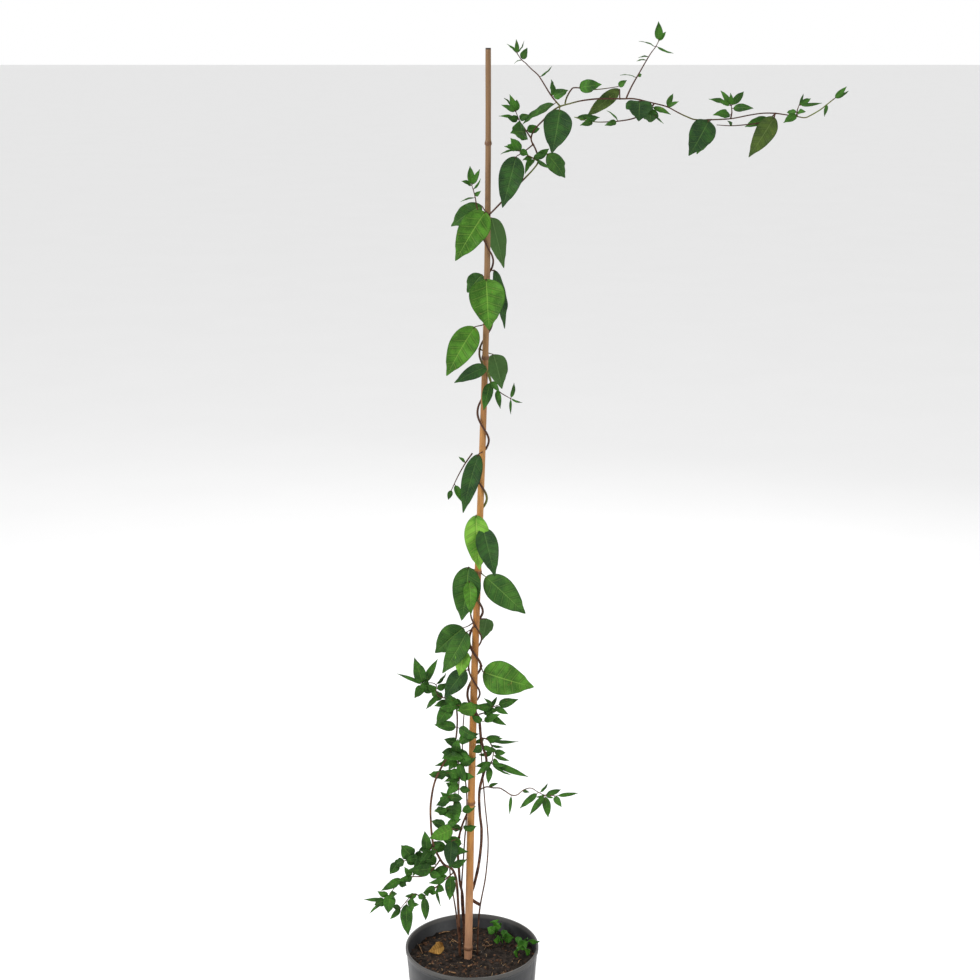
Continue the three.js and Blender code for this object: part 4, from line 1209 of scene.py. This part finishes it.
class HONEYSUCKLE_OT_cane(bpy.types.Operator):
    """Draw the bamboo cane, with its swollen joints, sheath scars and sawn hollow top."""

    bl_idname = "honeysuckle.cane"
    bl_label = "Bamboo Cane"

    def execute(self, context):
        look = context.scene.honeysuckle_cane
        maker = MeshMaker("bamboo_cane_culm")
        sides = 28
        low, high = CANE_ROUTE[0][2], CANE_ROUTE[-1][2]
        heights = sorted({low + (high - low) * k / 330 for k in range(331)} | {
            joint + k * 0.7 for joint in CANE_JOINTS for k in range(-10, 11)
        })
        points = []
        faces = []

        def ring(z, share):
            x, radius = cane_at(z)
            swell = 0.0
            for joint in CANE_JOINTS:
                gap = z - joint
                groove = 0.35 * math.exp(-(((gap + 2.6) / 0.6) ** 2))
                swell += look.swell * math.exp(-((gap / 2.6) ** 2)) - groove
            for k in range(sides):
                angle = 2 * math.pi * k / sides
                uneven = 0.16 * noise.noise(Vector((math.cos(angle) * 1.4, math.sin(angle) * 1.4, z * 0.02)))
                reach = (radius + swell + uneven) * share
                points.append(Vector((x + reach * math.cos(angle), reach * math.sin(angle), z)))

        for z in heights:
            ring(z, 1.0)
        ring(high, 0.62)
        ring(high - 7, 0.55)
        count = len(heights) + 2
        for r in range(count - 1):
            faces.extend(ring_faces(r * sides, (r + 1) * sides, sides))
        faces.append(tuple(reversed(range(sides))))
        faces.append(tuple(range((count - 1) * sides, count * sides)))
        maker.add(points, faces)
        cane = bamboo_material(
            "bamboo", tuple(look.tan), linear("bd8440"), tuple(look.worn), linear("5a3a22")
        )
        stand_in(maker.make(cane), "bamboo", "bamboo_cane")
        return {"FINISHED"}


def add_leaflet(maker, start, tip, width, roll, style, seed):
    """A small leaf blade, without its stalk; start is where it leaves its shoot, and start and the stalk's
    end on the blade are given back.
    """
    start = Vector(start)
    base = start.lerp(Vector(tip), 0.12)
    rows = 16 if width > 9 else 11
    columns = 8 if width > 6 else 6
    add_blade(maker, start.lerp(Vector(tip), 0.08), tip, width, roll, rows, columns, style, seed)
    return start, base


def add_shoot(maker, stalks, route, leaflets, style, seed):
    """Leaflets go in one maker and the shoot with their stalks in another."""
    path = smooth_path(route)
    add_tube(stalks, path, taper(0.95, 0.45), 8, style.furrows * 0.4)
    for k, (at, tip, width, roll) in enumerate(leaflets):
        start = route_point(route, at)
        base = add_leaflet(maker, start, tip, width, roll, style, seed + k)[1]
        toward = start.lerp(Vector(tip), 0.2)
        add_stalk(stalks, [start, base, toward], 0.5, 0.22)


def add_pairs(maker, stalks, route, count, length, width, seed, style):
    """Pairs of small leaves along a route, one to each side, drooping a little."""
    draw = random.Random(seed)
    path = smooth_path(route)
    for k in range(count):
        start = path[round((k + 0.5 + draw.uniform(-0.25, 0.25)) / count * (len(path) - 1))]
        for side in (-1, 1):
            if draw.random() < 0.15:
                continue
            reach = length * draw.uniform(0.7, 1.2)
            turn = draw.uniform(-0.5, 0.7)
            lean = draw.uniform(-0.6, 0.5)
            way = Vector((side * math.cos(turn), -math.sin(turn) * 0.8, -lean)).normalized()
            tip = start + way * reach
            wide = width * draw.uniform(0.75, 1.2)
            roll = draw.uniform(-35, 35)
            add_leaflet(maker, start, tip, wide, roll, style, draw.randrange(9999))
            add_stalk(stalks, [start, start.lerp(tip, 0.1), start.lerp(tip, 0.18)], 0.45, 0.22)


def join_makers(name, blades, stalks, *materials):
    """One object: blades with the first material, then stalks with the second."""
    count = len(blades.faces)
    blades.name = name
    blades.add([Vector(point) for point in stalks.points], stalks.faces, stalks.marks)
    piece = blades.make(*materials)
    tint(piece, count, 1)
    return piece


def swollen(radius):
    """The radius of a short run that bulges at its middle."""
    return lambda share: radius * (1.0 + 0.35 * math.sin(math.pi * share))


class HONEYSUCKLE_OT_stems(bpy.types.Operator):
    """Grow the three woody stems, swollen at their leaf joints, with their runners and small leaves."""

    bl_idname = "honeysuckle.stems"
    bl_label = "Twining Stems"

    def execute(self, context):
        style = context.scene.honeysuckle_plant
        for name, (_, foot, tip) in STEMS.items():
            maker = MeshMaker(f"{name}_bark")
            path = STEM_PATHS[name]
            joints = [nearest_stem_point(base) for _, base, *_ in LEAVES]
            foot, tip = foot * BARK_SHARE, tip * BARK_SHARE
            add_tube(maker, path, taper(foot, tip), 12, style.furrows)
            for run, first, last in RUNNERS.get(name, ()):
                add_tube(maker, smooth_path(run), taper(first, last), 10, style.furrows)
            for joint in joints:
                if min((joint - point).length for point in path) < 0.1:
                    k = min(range(len(path)), key=lambda i: (path[i] - joint).length)
                    short = path[max(0, k - 1) : k + 2]
                    if len(short) == 3:
                        share = k / len(path)
                        radius = foot + (tip - foot) * share
                        add_tube(maker, short, swollen(radius), 12)
            if name == "leader_stem":
                stub = taper(STUB_RADIUS, STUB_RADIUS * 0.95)
                add_tube(maker, smooth_path(PRUNED_STUB), stub, 12, style.furrows)
                blades = MeshMaker("leader_growth")
                stalks = MeshMaker("leader_growth_stalks")
                for k, (start, leaf_tip, width, roll) in enumerate(LEADER_LEAFLETS):
                    base = add_leaflet(blades, start, leaf_tip, width, roll, style, 900 + k)[1]
                    add_stalk(stalks, [start, base], 0.5, 0.25)
                for k, twig in enumerate(LEADER_TWIGS):
                    add_shoot(blades, stalks, twig["route"], twig["leaflets"], style, 950 + 20 * k)
                growth = join_makers("leader_growth", blades, stalks, shaded("shoot"), bark())
                stand_in(growth, "shoot_leaf")
            if name in STEM_LEAFLETS:
                blades = MeshMaker(f"{name}_leaflets")
                stalks = MeshMaker(f"{name}_leaflet_stalks")
                add_pairs(blades, stalks, *STEM_LEAFLETS[name], style)
                pairs = join_makers(f"{name}_leaflets", blades, stalks, shaded("shoot"), bark())
                stand_in(pairs, "shoot_leaf")
            stand_in(maker.make(bark()), "stem_bark", name)
        return {"FINISHED"}


class HONEYSUCKLE_OT_leaves(bpy.types.Operator):
    """Hang the large leaves on their stalks, in pairs along the stems."""

    bl_idname = "honeysuckle.leaves"
    bl_label = "Leaves"

    def execute(self, context):
        style = context.scene.honeysuckle_plant
        for k, (name, base, tip, width, roll, shade) in enumerate(LEAVES):
            blades = MeshMaker(name)
            stalks = MeshMaker(name)
            rows = 64 if width > 24 else 46
            inside = add_blade(blades, base, tip, width, roll, rows, 30 if width > 24 else 22, style, 100 + k)
            root = nearest_stem_point(base)
            middle = root.lerp(Vector(base), 0.55) + Vector((0, 0, -0.8))
            stalk = smooth_path([root, middle, Vector(base), inside], 1.2)
            add_tube(stalks, stalk, taper(0.85, 0.5), 8)
            piece = join_makers(f"{name}_blade", blades, stalks, shaded(shade), bark())
            stand_in(piece, f"leaf_{shade}", name)
        return {"FINISHED"}


class HONEYSUCKLE_OT_shoots(bpy.types.Operator):
    """Grow the thin side shoots with their small leaves."""

    bl_idname = "honeysuckle.shoots"
    bl_label = "Side Shoots"

    def execute(self, context):
        style = context.scene.honeysuckle_plant
        for k, (name, shoot) in enumerate(SHOOTS.items()):
            blades = MeshMaker(name)
            stalks = MeshMaker(name)
            add_shoot(blades, stalks, shoot["route"], shoot["leaflets"], style, 300 + 20 * k)
            if name in SHOOT_PAIRS:
                add_pairs(blades, stalks, shoot["route"], *SHOOT_PAIRS[name], 500 + k, style)
            piece = join_makers(f"{name}_growth", blades, stalks, shaded("shoot"), bark())
            stand_in(piece, "shoot_leaf", name)
        return {"FINISHED"}


# Rows and columns of a blade's grid, and where each kind's seeds start
WEED_GRID = (20, 12)
ROSETTE_GRID = (18, 12)
FALLEN_GRID = (34, 18)
WEED_SEED = 700
ROSETTE_SEED = 760
FALLEN_SEED = 811


class HONEYSUCKLE_OT_seedlings(bpy.types.Operator):
    """Grow the weeds in the compost, and lay a fallen leaf and a few twigs on it."""

    bl_idname = "honeysuckle.seedlings"
    bl_label = "Weeds and Litter"

    def execute(self, context):
        style = context.scene.honeysuckle_plant
        stalk_green = shaded("weed")
        for k, (name, weed) in enumerate(SEEDLINGS.items()):
            blades = MeshMaker(name)
            stalks = MeshMaker(name)
            foot = Vector(weed["foot"])
            add_tube(stalks, [foot - 7 * UP, foot - 3 * UP, foot], taper(0.8, 0.7), 8)
            for j, (tip, width, roll) in enumerate(weed["leaflets"]):
                neck = foot.lerp(Vector(tip), 0.5)
                neck.z = tip[2] - 2
                inner = neck.lerp(Vector(tip), 0.12)
                add_stalk(stalks, [foot, foot.lerp(neck, 0.6) + UP, inner], 0.6, 0.35)
                base = neck.lerp(Vector(tip), 0.05)
                seed = WEED_SEED + 10 * k + j
                add_blade(blades, base, tip, width, roll, *WEED_GRID, style, seed)
            for j, (tip, width, turn) in enumerate(WEED_LEAVES.get(name, ())):
                tip = Vector(tip)
                base = tip - Vector((width * math.cos(turn), width * math.sin(turn), 0.3 * width))
                seed = ROSETTE_SEED + 10 * k + j
                add_blade(blades, base, tip, width, 0, *ROSETTE_GRID, style, seed)
                inner = base.lerp(tip, 0.15)
                add_stalk(stalks, [foot - 2 * UP, foot.lerp(base, 0.6), inner], 0.6, 0.35)
            piece = join_makers(f"{name}_growth", blades, stalks, stalk_green, stalk_green)
            stand_in(piece, "weed_leaf", name)
        dead = leaf_material(
            "dead_leaf", *(linear(code) for code in ("8a5f2c", "c79b52", "6f4a25", "b08c58")), 0.7, 0.8
        )
        dry = MeshMaker("fallen_leaf_blade")
        base, tip, width, roll = FALLEN_LEAF
        add_blade(dry, base, tip, width, roll, *FALLEN_GRID, style, FALLEN_SEED)
        stand_in(dry.make(dead), "dead_leaf", "fallen_leaf")
        twigs = MeshMaker("compost_twigs")
        for x, y, length, turn, radius in LITTER:
            run = [
                Vector((x + length * s * math.cos(turn), y + length * s * math.sin(turn), 0))
                for s in (-0.5, 0, 0.5)
            ]
            for point in run:
                point.z = soil_lumps(point.x, point.y) + radius + 0.7
            add_tube(twigs, smooth_path(run), taper(radius, radius * 0.7), 8, 0.3)
        tones = (linear("5f4330"), linear("b08d66"))
        wood = material_of("litter_wood", lambda: compost_material("litter_wood", *tones, 300.0, 0.8))
        stand_in(twigs.make(wood), "compost")
        return {"FINISHED"}


FLOOR_REACH = 40.0
CAMERA_SENSOR = 36.0
CAMERA_LENS = 67.96
CAMERA_PLACE = (0.02227, -2.08026, 1.26855)
CAMERA_TILT = 75.332


class HONEYSUCKLE_OT_stage(bpy.types.Operator):
    """Lay a pale floor and set soft studio lights and the camera."""

    bl_idname = "honeysuckle.stage"
    bl_label = "Floor, Lights and Camera"

    def execute(self, context):
        scene = context.scene
        look = scene.honeysuckle_stage
        floor = bpy.data.meshes.new("studio_floor")
        reach = FLOOR_REACH
        corners = [(-reach, -reach, 0), (reach, -reach, 0), (reach, reach, 0), (-reach, reach, 0)]
        floor.from_pydata(corners, [], [(0, 1, 2, 3)])
        material, tree, shader = new_material("floor_paint", Roughness=0.85)
        where = place_in_object(tree)
        pale = mix(tree, grain(tree, where, 3.0), (0.93, 0.93, 0.93), (0.96, 0.96, 0.96))
        tree.links.new(pale, shader.inputs["Base Color"])
        floor.materials.append(material)
        laid = bpy.data.objects.new("studio_floor", floor)
        scene.collection.objects.link(laid)
        world = bpy.data.worlds.new("studio")
        world.use_nodes = True
        sky = world.node_tree.nodes["Background"]
        sky.inputs["Color"].default_value = (1.0, 1.0, 1.0, 1.0)
        seen = place(world.node_tree, "ShaderNodeLightPath").outputs["Is Camera Ray"]
        strength = maths(world.node_tree, "MAXIMUM", seen, look.sky)
        world.node_tree.links.new(strength, sky.inputs["Strength"])
        scene.world = world
        scene.view_settings.view_transform = "Standard"
        lamps = [
            ("key_light", (-2.1, -1.2, 2.2), 1.0, look.key_light),
            ("fill_light", (1.9, -1.4, 1.3), 1.6, look.fill_light),
            ("back_light", (0.6, 1.9, 1.9), 1.4, look.fill_light),
        ]
        aim = Vector((0.02, 0, 0.6))
        for name, spot, size, power in lamps:
            data = bpy.data.lights.new(name, "AREA")
            data.size = size
            data.energy = power
            lamp = bpy.data.objects.new(name, data)
            lamp.location = spot
            lamp.rotation_euler = (aim - Vector(spot)).to_track_quat("-Z", "Y").to_euler()
            scene.collection.objects.link(lamp)
        data = bpy.data.cameras.new("studio_camera")
        data.sensor_width = CAMERA_SENSOR
        data.lens = CAMERA_LENS
        camera = bpy.data.objects.new("studio_camera", data)
        camera.location = CAMERA_PLACE
        camera.rotation_euler = (math.radians(CAMERA_TILT), 0.0, 0.0)
        scene.collection.objects.link(camera)
        scene.camera = camera
        return {"FINISHED"}


OPERATORS = (
    HONEYSUCKLE_OT_pot,
    HONEYSUCKLE_OT_compost,
    HONEYSUCKLE_OT_cane,
    HONEYSUCKLE_OT_stems,
    HONEYSUCKLE_OT_leaves,
    HONEYSUCKLE_OT_shoots,
    HONEYSUCKLE_OT_seedlings,
    HONEYSUCKLE_OT_stage,
)


class HONEYSUCKLE_PT_sidebar(bpy.types.Panel):
    """Lists the plant's parts, in the order in which they are made."""

    bl_idname = "HONEYSUCKLE_PT_sidebar"
    bl_label = "Potted Honeysuckle"
    bl_space_type = "VIEW_3D"
    bl_region_type = "UI"
    bl_category = "Honeysuckle"

    def draw(self, context):
        for name, group in SETTINGS.items():
            box = self.layout.box()
            for key in group.__annotations__:
                box.prop(getattr(context.scene, name), key)
        for operator in OPERATORS:
            self.layout.operator(operator.bl_idname)


def register():
    for name, group in SETTINGS.items():
        bpy.utils.register_class(group)
        setattr(bpy.types.Scene, name, PointerProperty(type=group))
    for operator in OPERATORS:
        bpy.utils.register_class(operator)
    bpy.utils.register_class(HONEYSUCKLE_PT_sidebar)


def unregister():
    bpy.utils.unregister_class(HONEYSUCKLE_PT_sidebar)
    for operator in reversed(OPERATORS):
        bpy.utils.unregister_class(operator)
    for name, group in SETTINGS.items():
        delattr(bpy.types.Scene, name)
        bpy.utils.unregister_class(group)


def main():
    register()
    make_mottling_group()
    make_vein_group()
    bpy.ops.honeysuckle.pot()
    bpy.ops.honeysuckle.compost()
    bpy.ops.honeysuckle.cane()
    bpy.ops.honeysuckle.stems()
    bpy.ops.honeysuckle.leaves()
    bpy.ops.honeysuckle.shoots()
    bpy.ops.honeysuckle.seedlings()
    bpy.ops.honeysuckle.stage()


if __name__ == "__main__":
    main()
